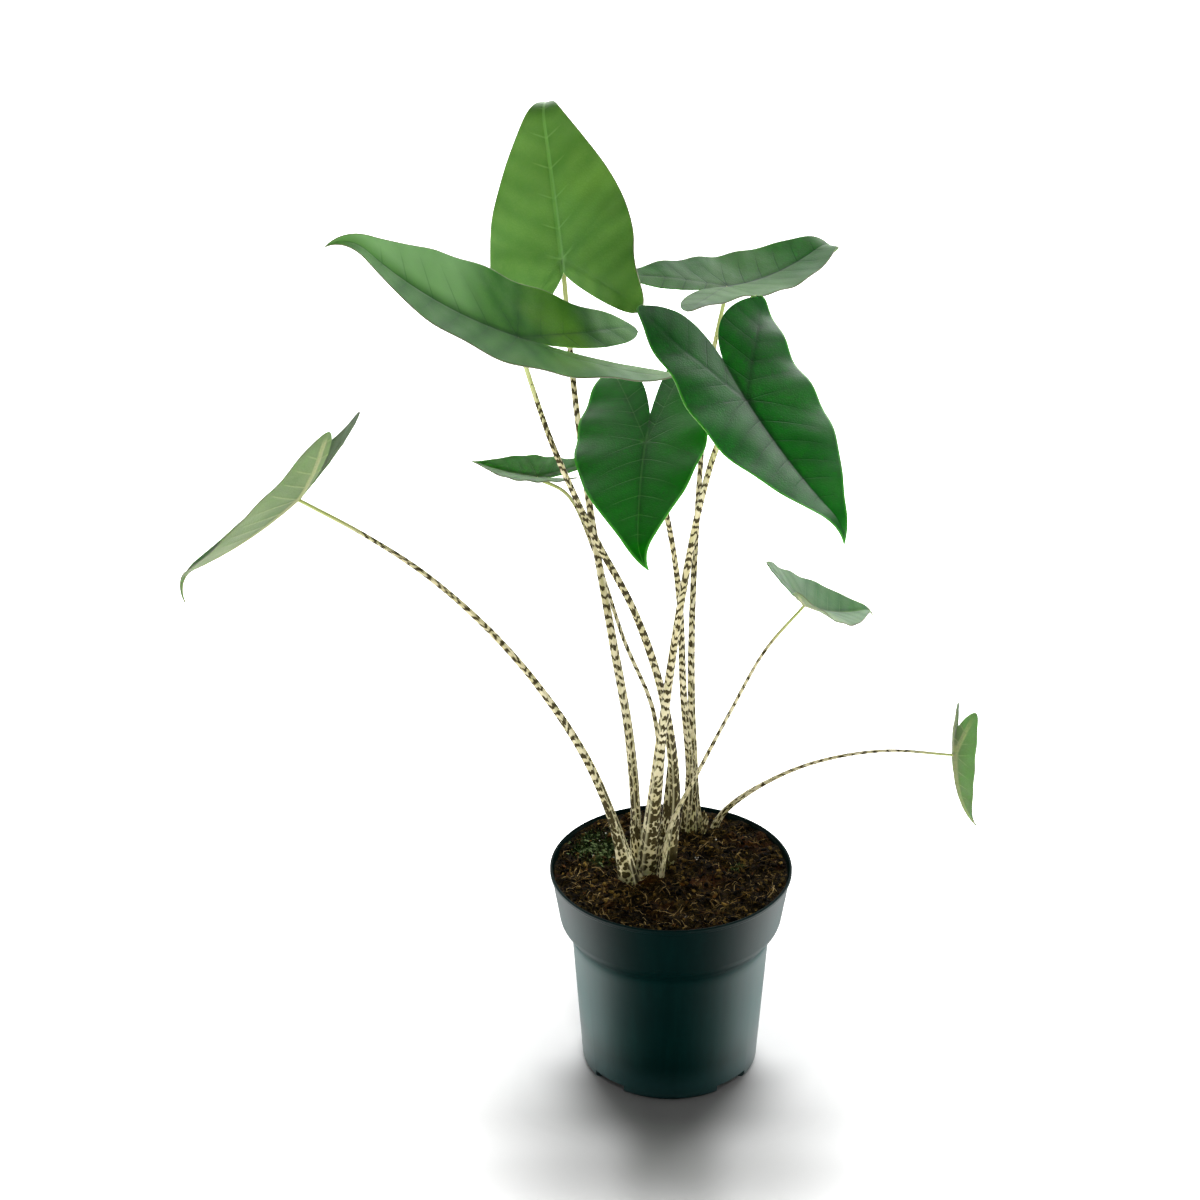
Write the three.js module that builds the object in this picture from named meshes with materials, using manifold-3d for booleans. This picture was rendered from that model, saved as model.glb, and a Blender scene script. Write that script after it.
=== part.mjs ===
// A zebrina alocasia in its round plastic nursery pot, in millimetres, +Z up. The origin is on the
// pot's axis, on the surface that the pot stands on. -Y is the plant's front. The nine leaves and the
// stalks that carry them are lettered a to i.
import * as THREE from "three";
import { mergeVertices } from "three/addons/utils/BufferGeometryUtils.js";
import Module from "manifold-3d";

// Clearance between pieces that touch
const GAP = 0.3;

// Pot
const POT_HEIGHT = 175;
const RIM_RADIUS = 95;
const LIP_HEIGHT = 4;
const LIP_OVERHANG = 1.2;
const LIP_CHAMFER = 0.8;
const COLLAR_BOTTOM = 130;
const COLLAR_RADIUS = 87;
const SHOULDER_BOTTOM = 118;
const BODY_RADIUS = 78;
const FOOT_RADIUS = 69.5;
const FOOT_ROUNDING = 5;
const WALL = 1.8;
const FLOOR = 2.5;
const POT_SEGMENTS = 48;

// Drain recesses in the pot's bottom edge, each with a hole up through its ceiling
const RECESS_COUNT = 4;
const RECESS_HEIGHT = 7.5;
const RECESS_INNER_RADIUS = 57;
const RECESS_HALF_ANGLE = 13;
const RECESS_OUTER_RADIUS = 80;
const DRAIN_HOLE_RADIUS = 3.5;
const DRAIN_HOLE_DISTANCE = 62.5;

// Soil, with its surface raised round the plant
const SOIL_EDGE = 165;
const SOIL_CROWN = 4;
const SOIL_CROWN_SPREAD = 62;
const SOIL_ROUGHNESS = 1.1;
const SOIL_RINGS = 8;

// Tubers in the soil that the stalks grow from: centre of the top face, radius and depth
const TUBER_TOP = 150;
const TUBERS = {
  front: { x: -15, y: 2, radius: 26, depth: 40 },
  back: { x: 22, y: 65, radius: 16, depth: 26 },
};

// Stalks: the hand-picked route of each centreline from the soil surface up to its leaf, and the
// radius at the foot and at the leaf. The sheathed foot is thicker by the flare.
const STALK_SIDES = 8;
const STALK_STEPS = 20;
const FLARE_LENGTH = 70;
const STALKS = {
  a: {
    foot: 3.9,
    top: 1.7,
    flare: 1.1,
    route: [[-27, 10, 166], [-28, 12, 224], [-34, 14, 293], [-46, 18, 368], [-62, 23, 469], [-75, 30, 575]],
  },
  b: {
    foot: 3.8,
    top: 1.6,
    flare: 1.2,
    route: [[3, 14, 166], [4, 6, 241], [-7, -7, 329], [-29, -22, 412], [-59, -37, 484], [-90, -56, 570]],
  },
  c: {
    foot: 3.3,
    top: 1.5,
    flare: 1.0,
    route: [[22, 68, 166], [19, 70, 217], [16, 77, 308], [19, 88, 426], [28, 101, 553]],
  },
  d: {
    foot: 4.0,
    top: 1.9,
    flare: 1.8,
    route: [[-20, 0, 166], [-15, -12, 247], [-7, -30, 335], [5, -57, 443], [19, -85, 545], [32, -103, 602]],
  },
  e: {
    foot: 3.5,
    top: 1.7,
    flare: 1.2,
    route: [[12, 62, 166], [15, 53, 227], [9, 34, 314], [5, 11, 406], [-5, -12, 487], [-16, -27, 536]],
  },
  f: {
    foot: 1.9,
    top: 1.3,
    flare: 1.2,
    route: [[-14, 17, 166], [-9, 28, 228], [-14, 43, 290], [-37, 61, 344], [-60, 83, 410], [-81, 100, 451]],
  },
  g: {
    foot: 3.9,
    top: 1.3,
    flare: 2.2,
    route: [
      [-33, -13, 166], [-46, -16, 227], [-73, -22, 299],
      [-124, -32, 385], [-182, -42, 453], [-232, -50, 495],
    ],
  },
  h: {
    foot: 1.9,
    top: 1.0,
    flare: 2.2,
    route: [[-9, -9, 166], [0, -7, 218], [19, -4, 260], [44, 0, 313], [71, 5, 366]],
  },
  i: {
    foot: 1.9,
    top: 0.9,
    flare: 1.6,
    route: [[34, 64, 166], [44, 64, 187], [78, 63, 215], [118, 62, 234], [169, 61, 244]],
  },
};

// Leaves. at: where the stalk meets the blade. heading, pitch and roll in degrees set the direction
// of the tip (0 is +X, 90 is +Y), its rise and the turn about the midrib. length runs from the stalk
// to the tip, lobe and spread place the tips of the two back lobes, and sinus is the notch between
// them. Each half is folded up from the midrib by its own angle, then curls by curl to its margin.
// The midrib droops by droop, and by tipCurl more at the tip. The lobes droop by lobeDroop.
const BLADE_THICKNESS = 1;
const TIP_CURL_START = 0.78;
const WAVE_COUNT = 3;
const LARGE_LEAF_GRID = { rows: 18, lobeRows: 5, columns: 5 };
const SMALL_LEAF_GRID = { rows: 13, lobeRows: 4, columns: 4 };
const LEAVES = {
  a: {
    at: [-84, 37, 678], heading: 99, pitch: 45, roll: 25, length: 135, width: 132, lobe: 54, spread: 64,
    sinus: 10, foldLeft: -10, foldRight: 26, curl: -16, droop: -5, lobeDroop: 16, tipCurl: 80, twist: 24,
    wave: 1.6, grid: LARGE_LEAF_GRID, colour: 0x4f8a35,
  },
  b: {
    at: [-115, -80, 670], heading: 201, pitch: 27, roll: 3, length: 176, width: 110, lobe: 111, spread: 38,
    sinus: 21, foldLeft: 0, foldRight: 26, curl: 0, droop: -26, lobeDroop: -14, tipCurl: 86, twist: -21,
    wave: 1.2, grid: LARGE_LEAF_GRID, colour: 0x4c8440,
  },
  c: {
    at: [41, 110, 624], heading: 46, pitch: -14, roll: 0, length: 129, width: 74, lobe: 81, spread: 31,
    sinus: 28, foldLeft: 16, foldRight: 4, curl: 6, droop: -33, lobeDroop: 9, tipCurl: 94, twist: -3,
    wave: 1.0, grid: LARGE_LEAF_GRID, colour: 0x477a45,
  },
  d: {
    at: [49, -115, 636], heading: 300, pitch: -26, roll: 22, length: 144, width: 105, lobe: 87, spread: 52,
    sinus: 38, foldLeft: 34, foldRight: -2, curl: -20, droop: -13, lobeDroop: -10, tipCurl: 57, twist: 10,
    wave: 1.4, grid: LARGE_LEAF_GRID, colour: 0x2c5a33,
  },
  e: {
    at: [-22, -36, 564], heading: 263, pitch: -15, roll: -39, length: 127, width: 105, lobe: 94, spread: 30,
    sinus: 31, foldLeft: -6, foldRight: 44, curl: -18, droop: 12, lobeDroop: -4, tipCurl: 72, twist: -10,
    wave: 1.2, grid: LARGE_LEAF_GRID, colour: 0x1d4d1e,
  },
  f: {
    at: [-105, 110, 462], heading: 164, pitch: -1, roll: -3, length: 53, width: 47, lobe: 39, spread: 15,
    sinus: 8, foldLeft: 16, foldRight: 23, curl: -5, droop: -16, lobeDroop: -15, tipCurl: 7, twist: -5,
    wave: 0.6, grid: SMALL_LEAF_GRID, colour: 0x4a7b50,
  },
  g: {
    at: [-278, -59, 529], heading: 148, pitch: -47, roll: -17, length: 172, width: 70, lobe: 84, spread: 22,
    sinus: 6, foldLeft: 0, foldRight: 42, curl: 11, droop: -16, lobeDroop: -13, tipCurl: 108, twist: -8,
    wave: 0.6, grid: SMALL_LEAF_GRID, colour: 0x66855a,
  },
  h: {
    at: [101, 9, 404], heading: 45, pitch: -37, roll: -4, length: 88, width: 65, lobe: 44, spread: 20,
    sinus: 6, foldLeft: 35, foldRight: 7, curl: -11, droop: -31, lobeDroop: -10, tipCurl: 60, twist: 6,
    wave: 0.7, grid: SMALL_LEAF_GRID, colour: 0x5b7f63,
  },
  i: {
    at: [225, 60, 241], heading: 36, pitch: -90, roll: 0, length: 80, width: 34, lobe: 41, spread: 11,
    sinus: 25, foldLeft: 22, foldRight: 20, curl: 22, droop: -38, lobeDroop: -14, tipCurl: -2, twist: 2,
    wave: 0.4, grid: SMALL_LEAF_GRID, colour: 0x558055,
  },
};

// Colours and surfaces
const potMaterial = new THREE.MeshStandardMaterial({ color: 0x16302f, roughness: 0.42, metalness: 0 });
const soilMaterial = new THREE.MeshStandardMaterial({ color: 0x24180f, roughness: 0.95, metalness: 0 });
const tuberMaterial = new THREE.MeshStandardMaterial({ color: 0x5a4630, roughness: 0.9, metalness: 0 });
const stalkMaterial = new THREE.MeshStandardMaterial({ color: 0xa89a72, roughness: 0.5, metalness: 0 });

const { degToRad: rad, lerp } = THREE.MathUtils;
const wasm = await Module();
wasm.setup();

// Joining and cutting
function solidOf(geometry) {
  const bare = geometry.clone();
  bare.deleteAttribute("normal");
  bare.deleteAttribute("uv");
  const merged = mergeVertices(bare, 1e-3);
  return new wasm.Manifold(
    new wasm.Mesh({
      numProp: 3,
      vertProperties: merged.attributes.position.array,
      triVerts: new Uint32Array(merged.index.array),
    }),
  );
}

function geometryOf(solid) {
  const { vertProperties, triVerts } = solid.getMesh();
  const geometry = new THREE.BufferGeometry();
  geometry.setAttribute("position", new THREE.BufferAttribute(vertProperties, 3));
  geometry.setIndex(new THREE.BufferAttribute(triVerts, 1));
  geometry.computeVertexNormals();
  return geometry;
}

function cutAll(solid, cutters) {
  return cutters.reduce((rest, cutter) => rest.subtract(cutter), solid);
}

// A body turned about the Z axis, from [radius, height] points that run from the axis back to it
function turned(profile) {
  const points = profile.map(([radius, height]) => new THREE.Vector2(radius, height));
  return new THREE.LatheGeometry(points, POT_SEGMENTS).rotateX(Math.PI / 2);
}

// Quarter circle from the flat bottom out to the wall
function roundedEdge(radius, rounding, bottom, steps) {
  const points = [];
  for (let i = 0; i <= steps; i++) {
    const angle = (i / steps) * (Math.PI / 2);
    points.push([
      radius - rounding + rounding * Math.sin(angle),
      bottom + rounding * (1 - Math.cos(angle)),
    ]);
  }
  return points;
}

// Pot
function potOutline() {
  const lipBottom = POT_HEIGHT - LIP_HEIGHT;
  return [
    [0, 0],
    ...roundedEdge(FOOT_RADIUS, FOOT_ROUNDING, 0, 4),
    [BODY_RADIUS, SHOULDER_BOTTOM],
    [COLLAR_RADIUS, COLLAR_BOTTOM],
    [RIM_RADIUS - LIP_OVERHANG, lipBottom],
    [RIM_RADIUS, lipBottom + LIP_CHAMFER],
    [RIM_RADIUS, POT_HEIGHT - LIP_CHAMFER],
    [RIM_RADIUS - LIP_CHAMFER, POT_HEIGHT],
    [0, POT_HEIGHT],
  ];
}

// Wall of the space inside the pot, drawn in by inset, up to the height where the rim begins
function innerWall(inset) {
  const shrink = WALL + inset;
  const rimBottom = POT_HEIGHT - LIP_HEIGHT;
  return [
    ...roundedEdge(FOOT_RADIUS - shrink, FOOT_ROUNDING - WALL, FLOOR + inset, 3),
    [BODY_RADIUS - shrink, SHOULDER_BOTTOM + inset],
    [COLLAR_RADIUS - shrink, COLLAR_BOTTOM + inset],
    [RIM_RADIUS - LIP_OVERHANG - shrink, rimBottom],
  ];
}

// The blocks that stand in the drain recesses, each one grown by grow
function recessBlocks(grow) {
  const blocks = [];
  for (let i = 0; i < RECESS_COUNT; i++) {
    const middle = ((i + 0.5) * 2 * Math.PI) / RECESS_COUNT;
    const inner = RECESS_INNER_RADIUS - grow;
    const half = rad(RECESS_HALF_ANGLE) + grow / RECESS_INNER_RADIUS;
    const sector = new THREE.Shape();
    sector.absarc(0, 0, RECESS_OUTER_RADIUS, middle - half, middle + half, false);
    sector.absarc(0, 0, inner, middle + half, middle - half, true);
    const block = new THREE.ExtrudeGeometry(sector, {
      depth: RECESS_HEIGHT + grow + 1,
      bevelEnabled: false,
      curveSegments: 4,
    });
    blocks.push(solidOf(block.translate(0, 0, -1)));
  }
  return blocks;
}

function drainHoles() {
  const holes = [];
  for (let i = 0; i < RECESS_COUNT; i++) {
    const middle = ((i + 0.5) * 2 * Math.PI) / RECESS_COUNT;
    const hole = new THREE.CylinderGeometry(DRAIN_HOLE_RADIUS, DRAIN_HOLE_RADIUS, 8, 12);
    hole.rotateX(Math.PI / 2);
    hole.translate(DRAIN_HOLE_DISTANCE, 0, RECESS_HEIGHT);
    hole.rotateZ(middle);
    holes.push(solidOf(hole));
  }
  return holes;
}

function potGeometry() {
  const inside = [
    [0, FLOOR],
    ...innerWall(0),
    [RIM_RADIUS - WALL, POT_HEIGHT - LIP_CHAMFER],
    [RIM_RADIUS - WALL, POT_HEIGHT + 1],
    [0, POT_HEIGHT + 1],
  ];
  const space = cutAll(solidOf(turned(inside)), recessBlocks(WALL));
  const shell = solidOf(turned(potOutline())).subtract(space);
  return geometryOf(cutAll(shell, [...recessBlocks(0), ...drainHoles()]));
}

// Tubers
function tuberGeometry({ x, y, radius, depth }, grow) {
  const top = TUBER_TOP + grow;
  const bottom = TUBER_TOP - depth - grow;
  const middle = TUBER_TOP - depth * 0.35;
  const points = [
    [0, bottom],
    [radius * 0.45 + grow, bottom],
    [radius * 0.85 + grow, TUBER_TOP - depth * 0.75],
    [radius + grow, middle],
    [radius * 0.96 + grow, top],
    [0, top],
  ].map(([r, z]) => new THREE.Vector2(r, z));
  return new THREE.LatheGeometry(points, 20).rotateX(Math.PI / 2).translate(x, y, 0);
}

// Leaf directions: towards the tip, to the left of it, and out of the upper face
function leafAxes({ heading, pitch, roll }) {
  const turn = rad(heading);
  const rise = rad(pitch);
  const tip = new THREE.Vector3(
    Math.cos(rise) * Math.cos(turn),
    Math.cos(rise) * Math.sin(turn),
    Math.sin(rise),
  );
  const level = new THREE.Vector3(-Math.sin(turn), Math.cos(turn), 0);
  const left = level.applyAxisAngle(tip, -rad(roll));
  const up = new THREE.Vector3().crossVectors(tip, left);
  return { tip, left, up };
}

// Point, slope and twist of the midrib at a distance s along it. Behind the stalk, s is negative and
// the midrib is the line that the lobes hang from.
function midribAt(leaf, s) {
  const steps = 24;
  const reach = s >= 0 ? leaf.length : leaf.lobe;
  const slopeAt = (distance) => {
    const share = distance / reach;
    if (s < 0) return rad(leaf.lobeDroop) * share;
    const curl = Math.max(0, (share - TIP_CURL_START) / (1 - TIP_CURL_START));
    return -rad(leaf.droop) * share - rad(leaf.tipCurl) * curl ** 1.5;
  };
  const direction = Math.sign(s);
  const step = Math.abs(s) / steps;
  let along = 0;
  let rise = 0;
  for (let i = 0; i < steps; i++) {
    const slope = slopeAt((i + 0.5) * step);
    along += direction * Math.cos(slope) * step;
    rise += direction * Math.sin(slope) * step;
  }
  return { along, rise, slope: slopeAt(Math.abs(s)), twist: (rad(leaf.twist) * s) / leaf.length };
}

// Point of the blade's middle surface at s along the midrib and t across it, on side 1 or -1
function bladePoint(leaf, s, t, side) {
  const { tip, left, up } = leafAxes(leaf);
  const { along, rise, slope, twist } = midribAt(leaf, s);
  const half = leaf.width / 2;
  const fold = rad(side > 0 ? leaf.foldLeft : leaf.foldRight);
  const bend = rad(leaf.curl || 0.01) / half;
  const across = (side * (Math.sin(fold + bend * t) - Math.sin(fold))) / bend;
  const phase = 2 * Math.PI * WAVE_COUNT * (s / leaf.length) + 1.3 * side;
  const wave = leaf.wave * (t / half) ** 2 * Math.sin(phase);
  const height = (Math.cos(fold) - Math.cos(fold + bend * t)) / bend + wave;
  const direction = new THREE.Vector3(Math.cos(slope), 0, Math.sin(slope));
  const sideways = new THREE.Vector3(0, 1, 0).applyAxisAngle(direction, twist);
  const outward = new THREE.Vector3(-Math.sin(slope), 0, Math.cos(slope)).applyAxisAngle(direction, twist);
  const local = new THREE.Vector3(along, 0, rise)
    .addScaledVector(sideways, across)
    .addScaledVector(outward, height);
  return new THREE.Vector3(...leaf.at)
    .addScaledVector(tip, local.x)
    .addScaledVector(left, local.y)
    .addScaledVector(up, local.z);
}

// Flat outline of one half of a leaf, as [s, t]: the margin behind and ahead of its widest place, and
// the inner edge of the lobe
function leafOutline({ length, width, lobe, spread, sinus }) {
  const widest = -0.05 * length;
  const half = width / 2;
  const curve = (...ends) => new THREE.CubicBezierCurve(...ends.map((end) => new THREE.Vector2(...end)));
  return {
    rear: curve(
      [-lobe, spread],
      [-1.02 * lobe, spread + 0.13 * width],
      [-0.55 * lobe, half],
      [widest, half],
    ),
    front: curve([widest, half], [0.5 * length, half], [0.72 * length, 0.1 * width], [length, 0]),
    inner: curve(
      [-lobe, spread],
      [-0.98 * lobe, spread - 0.12 * width],
      [-sinus - 0.25 * (lobe - sinus), 0.03 * width],
      [-sinus, 0],
    ),
  };
}

// The margin is followed from the lobe's tip (0) past the widest place (1) to the leaf's tip (2). The
// row that starts in the notch reaches the margin at this place.
const MARGIN_AT_NOTCH = 0.8;

function outlineRow(leaf, outline, row) {
  const { rows, lobeRows } = leaf.grid;
  const onLobe = row <= lobeRows;
  const lobeShare = row / lobeRows;
  const bladeShare = (row - lobeRows) / (rows - lobeRows);
  const place = onLobe ? MARGIN_AT_NOTCH * lobeShare : lerp(MARGIN_AT_NOTCH, 2, bladeShare);
  const margin = place <= 1 ? outline.rear.getPoint(place) : outline.front.getPoint(place - 1);
  const midrib = new THREE.Vector2(lerp(-leaf.sinus, leaf.length, bladeShare), 0);
  return { inner: onLobe ? outline.inner.getPoint(lobeShare) : midrib, margin };
}

// The blade: one grid for each half, joined along the midrib, thickened evenly to both sides. Both
// faces have the same triangles.
function bladeGeometry(leaf) {
  const { rows, lobeRows, columns } = leaf.grid;
  const outline = leafOutline(leaf);
  const points = [];
  const known = new Map();
  const vertex = (side, row, column) => {
    let key = [side, row, column].join();
    if (row === rows) key = "tip";
    else if (row === 0) key = "lobe" + side;
    else if (column === 0 && row >= lobeRows) key = "midrib" + row;
    if (!known.has(key)) {
      const { inner, margin } = outlineRow(leaf, outline, row);
      const { x, y } = inner.clone().lerp(margin, column / columns);
      known.set(key, points.length);
      points.push(bladePoint(leaf, x, y, side));
    }
    return known.get(key);
  };
  const faces = [];
  for (const side of [1, -1]) {
    for (let row = 0; row < rows; row++) {
      for (let column = 0; column < columns; column++) {
        const a = vertex(side, row, column);
        const b = vertex(side, row, column + 1);
        const c = vertex(side, row + 1, column + 1);
        const d = vertex(side, row + 1, column);
        const pair = side > 0 ? [[a, d, c], [a, c, b]] : [[a, c, d], [a, b, c]];
        faces.push(...pair.filter((face) => new Set(face).size === 3));
      }
    }
  }
  return thickened(points, faces, BLADE_THICKNESS);
}

function thickened(points, faces, thickness) {
  const sheet = new THREE.BufferGeometry().setFromPoints(points);
  sheet.setIndex(faces.flat());
  sheet.computeVertexNormals();
  const normal = new THREE.Vector3();
  const upper = [];
  const lower = [];
  points.forEach((point, i) => {
    normal.fromBufferAttribute(sheet.attributes.normal, i);
    upper.push(point.clone().addScaledVector(normal, thickness / 2));
    lower.push(point.clone().addScaledVector(normal, -thickness / 2));
  });
  const count = points.length;
  const index = [];
  const edges = new Set(faces.flatMap(([a, b, c]) => [[a, b].join(), [b, c].join(), [c, a].join()]));
  for (const [a, b, c] of faces) {
    index.push(a, b, c, c + count, b + count, a + count);
    for (const [from, to] of [[a, b], [b, c], [c, a]]) {
      if (edges.has([to, from].join())) continue;
      index.push(to, from, from + count, to, from + count, to + count);
    }
  }
  const blade = new THREE.BufferGeometry().setFromPoints([...upper, ...lower]);
  blade.setIndex(index);
  blade.computeVertexNormals();
  return blade;
}

// Stalks
function stalkCurve(letter, footHeight) {
  const { top, route } = STALKS[letter];
  const leaf = LEAVES[letter];
  const { up } = leafAxes(leaf);
  const points = route.map((point) => new THREE.Vector3(...point));
  const joint = new THREE.Vector3(...leaf.at);
  const direction = joint.clone().sub(points.at(-1)).normalize();
  const tilt = direction.dot(up);
  const reach = top * Math.sqrt(1 - tilt * tilt);
  const sag = top * Math.tan(rad(Math.max(0, -leaf.foldLeft, -leaf.foldRight)));
  joint.addScaledVector(up, -(BLADE_THICKNESS / 2 + GAP + reach + sag));
  const foot = points[0].clone().setZ(footHeight);
  const curve = new THREE.CatmullRomCurve3([foot, ...points, joint], false, "centripetal");
  curve.arcLengthDivisions = 400;
  return curve;
}

function stalkRadius({ foot, top, flare }, height, along) {
  const sheath = Math.max(0, 1 - height / FLARE_LENGTH);
  return foot + (top - foot) * along + flare * sheath * sheath;
}

// A capped cylinder bent along the stalk's curve, with its radius following the stalk
function stalkGeometry(letter, footHeight, grow) {
  const curve = stalkCurve(letter, footHeight);
  const geometry = new THREE.CylinderGeometry(1, 1, 1, STALK_SIDES, STALK_STEPS);
  const position = geometry.attributes.position;
  const depth = new THREE.Vector3(0, 1, 0);
  for (let i = 0; i < position.count; i++) {
    const along = position.getY(i) + 0.5;
    const centre = curve.getPointAt(along);
    const tangent = curve.getTangentAt(along);
    const across = new THREE.Vector3().crossVectors(tangent, depth).normalize();
    const third = new THREE.Vector3().crossVectors(across, tangent);
    const radius = stalkRadius(STALKS[letter], centre.z - SOIL_EDGE, along) + grow;
    centre.addScaledVector(across, radius * position.getX(i));
    centre.addScaledVector(third, radius * position.getZ(i));
    position.setXYZ(i, centre.x, centre.y, centre.z);
  }
  geometry.computeVertexNormals();
  return geometry;
}

// Soil
function soilHeight(x, y) {
  const fromPlant = (x * x + (y - 10) ** 2) / SOIL_CROWN_SPREAD ** 2;
  const crown = SOIL_CROWN * Math.exp(-fromPlant);
  const lumps = Math.sin(x * 0.21 + 1.3) * Math.cos(y * 0.17) + 0.6 * Math.sin(x * 0.11 - y * 0.26 + 0.7);
  return SOIL_EDGE + crown + SOIL_ROUGHNESS * lumps;
}

function soilGeometry() {
  const wall = innerWall(GAP);
  const [shoulderRadius, shoulder] = wall.at(-2);
  const [rimRadius, rim] = wall.at(-1);
  const share = (SOIL_EDGE - shoulder) / (rim - shoulder);
  const edgeRadius = shoulderRadius + (rimRadius - shoulderRadius) * share;
  const profile = [[0, FLOOR + GAP], ...wall.slice(0, -1), [edgeRadius, SOIL_EDGE]];
  for (let ring = 1; ring <= SOIL_RINGS; ring++) {
    profile.push([edgeRadius * (1 - ring / SOIL_RINGS), SOIL_EDGE]);
  }
  const body = turned(profile);
  const position = body.attributes.position;
  for (let i = 0; i < position.count; i++) {
    const x = position.getX(i);
    const y = position.getY(i);
    const onSurface = position.getZ(i) > SOIL_EDGE - 0.01 && Math.hypot(x, y) < edgeRadius - 0.01;
    if (onSurface) position.setZ(i, soilHeight(x, y));
  }
  const holes = Object.keys(STALKS).map((letter) => solidOf(stalkGeometry(letter, TUBER_TOP - 1, GAP)));
  const hollows = Object.values(TUBERS).map((tuber) => solidOf(tuberGeometry(tuber, GAP)));
  return geometryOf(cutAll(solidOf(body), [...recessBlocks(WALL + GAP), ...hollows, ...holes]));
}

// The plant in its pot
const plant = new THREE.Group();

function add(name, geometry, material) {
  const mesh = new THREE.Mesh(geometry, material);
  mesh.name = name;
  plant.add(mesh);
}

add("pot", potGeometry(), potMaterial);
add("soil", soilGeometry(), soilMaterial);
for (const [place, tuber] of Object.entries(TUBERS)) {
  add("corm_" + place, tuberGeometry(tuber, 0), tuberMaterial);
}
for (const [letter, leaf] of Object.entries(LEAVES)) {
  const leafMaterial = new THREE.MeshStandardMaterial({ color: leaf.colour, roughness: 0.4, metalness: 0 });
  add("petiole_" + letter, stalkGeometry(letter, TUBER_TOP + GAP, 0), stalkMaterial);
  add("leaf_" + letter, bladeGeometry(leaf), leafMaterial);
}

export default plant;
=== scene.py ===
"""The looks of the potted zebrina alocasia: its camera, light, pieces and finishes.

Objects, lights and the places that materials read are in metres. The plant's own sizes are in
millimetres and degrees, as in the CAD source. Colours are screen values of 0 to 255.
"""
import random
from collections import namedtuple
from math import atan2, cos, degrees, exp, hypot, pi, radians, sin, sqrt, tan

import bmesh
import bpy
import numpy as np
from mathutils import Matrix, Vector, noise


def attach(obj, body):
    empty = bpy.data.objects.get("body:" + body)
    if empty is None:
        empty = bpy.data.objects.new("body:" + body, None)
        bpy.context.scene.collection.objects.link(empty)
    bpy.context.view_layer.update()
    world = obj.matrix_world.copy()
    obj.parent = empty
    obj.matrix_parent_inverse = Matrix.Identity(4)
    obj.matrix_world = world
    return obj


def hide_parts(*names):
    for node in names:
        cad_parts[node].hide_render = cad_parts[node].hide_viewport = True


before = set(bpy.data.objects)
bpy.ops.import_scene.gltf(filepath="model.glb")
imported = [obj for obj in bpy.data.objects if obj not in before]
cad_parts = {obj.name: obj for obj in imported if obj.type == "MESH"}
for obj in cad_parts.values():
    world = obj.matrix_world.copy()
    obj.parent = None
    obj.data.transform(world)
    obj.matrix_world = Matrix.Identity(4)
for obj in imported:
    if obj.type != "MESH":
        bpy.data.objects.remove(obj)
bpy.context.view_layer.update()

MM = 0.001


def paint(red, green, blue):
    """Colour as a shader takes it, from screen values of 0 to 255."""
    return tuple((c / 255) ** 2.2 for c in (red, green, blue)) + (1.0,)


# ---- shader maths
def operator(operation, reflected=False):
    """One arithmetic operator of a Value, which adds a Math node."""

    def apply(self, other):
        return self.math(operation, *((other, self) if reflected else (self, other)))

    return apply


class Value:
    """One output of a node, to do arithmetic with."""

    __add__ = __radd__ = operator("ADD")
    __sub__ = operator("SUBTRACT")
    __rsub__ = operator("SUBTRACT", reflected=True)
    __mul__ = __rmul__ = operator("MULTIPLY")
    __truediv__ = operator("DIVIDE")
    __pow__ = operator("POWER")
    least = operator("MINIMUM")
    most = operator("MAXIMUM")

    def __init__(self, nodes, socket):
        self.nodes = nodes
        self.socket = socket

    def math(self, operation, *terms):
        return self.nodes.add("Math", {"operation": operation}, dict(enumerate(terms)))

    def size(self):
        return self.math("ABSOLUTE", self)

    def wave(self, period):
        """0 at multiples of the period and 1 midway between them."""
        return 0.5 - 0.5 * self.math("COSINE", self * (2 * pi / period))

    def rise(self, low, high):
        """0 below low, 1 above high, and smooth between them."""
        settings = {"interpolation_type": "SMOOTHSTEP"}
        return self.nodes.add("MapRange", settings, {0: self, 1: low, 2: high})

    def fall(self, low, high):
        return 1 - self.rise(low, high)

    def parts(self):
        """The three numbers of a vector."""
        return [self.nodes.add("SeparateXYZ", {}, {0: self}, out) for out in range(3)]

    def scaled(self, x, y, z):
        return self.nodes.add("VectorMath", {"operation": "MULTIPLY"}, {0: self, 1: (x, y, z)})

    def moved(self, other):
        return self.nodes.add("VectorMath", {"operation": "ADD"}, {0: self, 1: other})


class Nodes:
    """The nodes of a material or of the studio's surround."""

    def __init__(self, owner):
        owner.use_nodes = True
        self.tree = owner.node_tree

    def add(self, kind, settings, inputs, out=0):
        """Adds a node, first with its settings and then its inputs, and gives one output."""
        node = self.tree.nodes.new("ShaderNode" + kind)
        for name, value in settings.items():
            if name == "stops":
                ramp = node.color_ramp.elements
                while len(ramp) < len(value):
                    ramp.new(0.5)
                for stop, (place, colour) in zip(ramp, value):
                    stop.position = place
                    stop.color = paint(*colour)
            else:
                setattr(node, name, value)
        for name, value in inputs.items():
            self.put(node.inputs[name], value)
        return Value(self, node.outputs[out])

    def put(self, socket, value):
        if isinstance(value, Value):
            self.tree.links.new(value.socket, socket)
        else:
            socket.default_value = paint(*value) if socket.type == "RGBA" else value


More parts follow.
